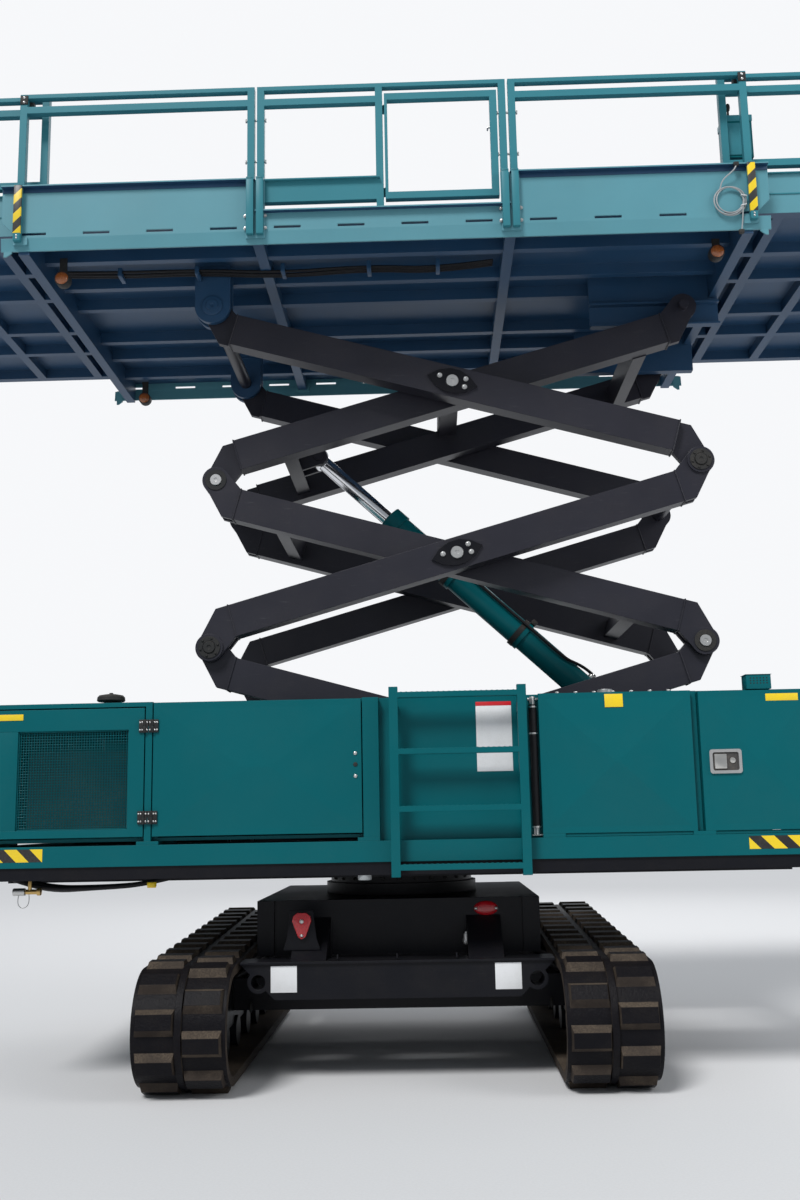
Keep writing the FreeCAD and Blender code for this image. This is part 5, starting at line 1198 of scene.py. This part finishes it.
class LIFT_OT_cylinder(bpy.types.Operator):
    """Clamp bands, hose, ports, wiper and gland bolts of the lift cylinder"""
    bl_idname = "lift.cylinder"
    bl_label = "Lift cylinder"

    def execute(self, context):
        along = (ROD_EYE - BARREL_FOOT).normalized()
        above = Vector((along.z, 0, -along.x))
        if above.z < 0:
            above.negate()

        def at(length, off, y=0.0):
            """Point by its distance from the foot, above the axis and along y."""
            return BARREL_FOOT + along * length + above * off + Vector((0, y, 0))

        body = "cylinder_barrel"
        ring = turned(along) @ Matrix.Rotation(math.pi / 2, 4, "X")
        upright = Matrix((along, (0, 1, 0), above)).transposed().to_4x4()
        bands = bmesh.new()
        for start in (0.570, 1.130):
            add_ring(bands, circle(0.0935), circle(0.0905), -0.002, 0.032,
                     Matrix.Translation(at(start + 0.031, 0)) @ ring)
            add_box(bands, (-0.017, -0.040, 0.0), (0.017, -0.004, 0.030), 0.002,
                    Matrix.Translation(at(start + 0.015, 0.090)) @ upright)
        piece("barrel_bands", bands, body, "dark_fitting")
        hose = bmesh.new()
        route = [at(0.105, 0.104), at(0.15, 0.104, -0.014), at(0.22, 0.086, -0.053), at(0.30, 0.053, -0.086),
                 at(0.57, 0.055, -0.088), at(0.80, 0.053, -0.086), at(1.12, 0.055, -0.088),
                 at(1.22, 0.071, -0.073), at(1.29, 0.092, -0.040), at(1.33, 0.098, -0.006)]
        add_tube(hose, smooth_path(route), 0.0095, 12)
        piece("barrel_hose", hose, body, "hose_rubber")
        ports = bmesh.new()
        for length, off, radius, tall, bevel, sides in (
                (1.335, 0.078, 0.020, 0.016, 0.002, 6), (1.335, 0.092, 0.014, 0.010, 0.001, 20),
                (0.105, 0.076, 0.026, 0.024, 0.002, 20), (0.105, 0.098, 0.017, 0.014, 0.002, 6)):
            add_rod(ports, at(length, off), above, radius, tall, bevel, sides)
        piece("barrel_ports", ports, body, "zinc")
        rod_end = 1.690
        seal = bmesh.new()
        add_ring(seal, circle(0.062), circle(0.0462), -0.006, 0.008,
                 Matrix.Translation(at(rod_end, 0)) @ ring)
        piece("rod_wiper", seal, body, "dark_fitting")
        gland = bmesh.new()
        for i in range(8):
            turn = math.radians(45 * i + 22)
            add_bolt(gland, at(rod_end, 0.073 * math.cos(turn), 0.073 * math.sin(turn)), along, 0.006)
        piece("gland_bolts", gland, body, "zinc")
        return {"FINISHED"}


class LIFT_OT_running_gear(bpy.types.Operator):
    """Drive hoses, grease coupling, ring bolts, roller hubs and beam tabs"""
    bl_idname = "lift.running_gear"
    bl_label = "Running gear"

    def execute(self, context):
        pipes = bmesh.new()
        for side in (-1, 1):
            for y, z in ((-0.52, 0.62), (-0.44, 0.66)):
                route = [(side * 0.30, y + 0.02, z + 0.02), (side * 0.55, y, z),
                         (side * 0.78, y + 0.06, z - 0.10), (side * 0.93, y + 0.16, z - 0.20)]
                add_tube(pipes, smooth_path(route), 0.013)
        piece("drive_hoses", pipes, "undercarriage", "hose_rubber")
        coupling = bmesh.new()
        for y, z, axis, radius, length, sides in (
                (-0.752, 0.653, OUT, 0.020, 0.018, 6), (-0.770, 0.653, OUT, 0.014, 0.060, 20),
                (-0.815, 0.640, UP, 0.017, 0.055, 20), (-0.815, 0.690, UP, 0.010, 0.014, 16)):
            add_rod(coupling, (0.358, y, z), axis, radius, length, 0.002, sides)
        piece("grease_coupling", coupling, "undercarriage", "zinc")
        ring = bmesh.new()
        low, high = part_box("slew_ring_turning")
        radius = (high[0] - low[0]) / 2
        for i in range(28):
            turn = 2 * math.pi * i / 28
            if abs(math.sin(turn)) > 0.4:
                spot = (radius * math.cos(turn), radius * math.sin(turn), (low[2] + high[2]) / 2)
                add_bolt(ring, spot, (math.cos(turn), math.sin(turn), 0))
        piece("ring_bolts", ring, "upper_frame", "dark_fitting")
        hubs = bmesh.new()
        for side, inner in ((-1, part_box("track_frame_left")[1][0]), (1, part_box("track_frame_right")[0][0])):
            for y in (-0.55, -0.15, 0.25, 0.62):
                add_dome(hubs, (inner, y, 0.30), (-side, 0, 0), 0.030, 0.010)
        piece("roller_hubs", hubs, "undercarriage", "dark_fitting")
        tabs = bmesh.new()
        for x in (-0.30, 0.0, 0.30):
            outline = [(x - 0.004, 0.600), (x + 0.004, 0.600), (x + 0.004, 0.625), (x - 0.004, 0.625)]
            add_profile(tabs, outline, 0.030, context.scene.lift_sizes.edge / 4,
                        Matrix.Translation((0, -1.085, 0)))
        piece("beam_tabs", tabs, "undercarriage", "black_paint")
        return {"FINISHED"}


class LIFT_OT_stage(bpy.types.Operator):
    """Pale floor, soft lights and the camera at the photo's viewing angle"""
    bl_idname = "lift.stage"
    bl_label = "Stage and camera"

    def execute(self, context):
        context.scene.view_settings.view_transform = "Standard"
        self.floor(context.scene)
        self.sky(context.scene)
        for name, kind, at, aim, size, power in (
                ("key", "SUN", (-4.5, -8.0, 13.0), (0, 0, 2.0), 0.3, 2.5),
                ("side", "AREA", (9.0, -5.0, 7.0), (0, 0, 3.0), 5.0, 300.0),
                ("back", "AREA", (2.0, 10.0, 9.0), (0, 0, 3.0), 8.0, 350.0)):
            lamp = bpy.data.lights.new(name, kind)
            setattr(lamp, "angle" if kind == "SUN" else "size", size)
            lamp.energy = power
            holder = bpy.data.objects.new(name, lamp)
            context.scene.collection.objects.link(holder)
            holder.location = at
            holder.rotation_euler = (Vector(aim) - Vector(at)).to_track_quat("-Z", "Y").to_euler()
        self.camera(context.scene)
        return {"FINISHED"}

    def floor(self, scene):
        """Wide pale floor with a faint grain."""
        bm = bmesh.new()
        bmesh.ops.create_grid(bm, x_segments=1, y_segments=1, size=120)
        mesh = bpy.data.meshes.new("floor")
        bm.to_mesh(mesh)
        bm.free()
        floor = bpy.data.objects.new("floor", mesh)
        scene.collection.objects.link(floor)
        tree, shader = new_material("floor")
        grain = noise_node(tree, own_place(tree), 90.0)
        shade = mix_colour(tree, grain, (0.66, 0.66, 0.665, 1), (0.74, 0.74, 0.745, 1))
        feed(tree, shader, Base_Color=shade, Roughness=0.7)
        mesh.materials.append(bpy.data.materials["floor"])

    def sky(self, scene):
        """Even sky light, and a paler colour where the camera sees it."""
        scene.world = bpy.data.worlds.new("studio")
        scene.world.use_nodes = True
        tree = scene.world.node_tree
        light, seen = tree.nodes["Background"], tree.nodes.new("ShaderNodeBackground")
        feed(tree, light, Color=(0.86, 0.92, 1.0, 1), Strength=0.36)
        feed(tree, seen, Color=(0.93, 0.94, 0.96, 1))
        mix = tree.nodes.new("ShaderNodeMixShader")
        rays = tree.nodes.new("ShaderNodeLightPath")
        given = rays.outputs["Is Camera Ray"], light.outputs[0], seen.outputs[0]
        for output, socket in zip(given, mix.inputs):
            tree.links.new(output, socket)
        tree.links.new(mix.outputs[0], tree.nodes["World Output"].inputs["Surface"])

    def camera(self, scene):
        """Camera fitted to the photo's perspective."""
        yaw, pitch, roll = (math.radians(turn) for turn in CAMERA_TURN)
        ahead = Vector((math.sin(yaw) * math.cos(pitch), math.cos(yaw) * math.cos(pitch), math.sin(pitch)))
        right = Vector((math.cos(yaw), -math.sin(yaw), 0))
        above = right.cross(ahead)
        across = math.cos(roll) * right + math.sin(roll) * above
        upward = -math.sin(roll) * right + math.cos(roll) * above
        lens = bpy.data.cameras.new("camera")
        lens.sensor_fit = "VERTICAL"
        lens.sensor_height = 36.0
        lens.lens = FOCAL_LENGTH
        lens.clip_end = 500.0
        camera = bpy.data.objects.new("camera", lens)
        scene.collection.objects.link(camera)
        turn = Matrix((across, upward, -ahead)).transposed().to_4x4()
        camera.matrix_world = Matrix.Translation(CAMERA_PLACE) @ turn
        scene.camera = camera


OPERATORS = (LIFT_OT_finishes, LIFT_OT_undercarriage, LIFT_OT_running_gear, LIFT_OT_base, LIFT_OT_doors,
             LIFT_OT_roof, LIFT_OT_scissor, LIFT_OT_cylinder, LIFT_OT_platform, LIFT_OT_extensions,
             LIFT_OT_stage)


class LIFT_PT_panel(bpy.types.Panel):
    """Lists the steps that dress the lift"""
    bl_idname = "LIFT_PT_panel"
    bl_label = "Scissor lift"
    bl_space_type = "VIEW_3D"
    bl_region_type = "UI"
    bl_category = "Lift"

    def draw(self, context):
        column = self.layout.column()
        for group in (context.scene.lift_colours, context.scene.lift_sizes):
            for name in group.__annotations__:
                column.prop(group, name)
        for operator in OPERATORS:
            column.operator(operator.bl_idname)


CLASSES = (LiftColours, LiftSizes, *OPERATORS, LIFT_PT_panel)


def register():
    for item in CLASSES:
        bpy.utils.register_class(item)
    bpy.types.Scene.lift_colours = PointerProperty(type=LiftColours)
    bpy.types.Scene.lift_sizes = PointerProperty(type=LiftSizes)


def unregister():
    del bpy.types.Scene.lift_sizes
    del bpy.types.Scene.lift_colours
    for item in reversed(CLASSES):
        bpy.utils.unregister_class(item)


def main():
    register()
    for operator in OPERATORS:
        group, name = operator.bl_idname.split(".")
        getattr(getattr(bpy.ops, group), name)()


if __name__ == "__main__":
    main()
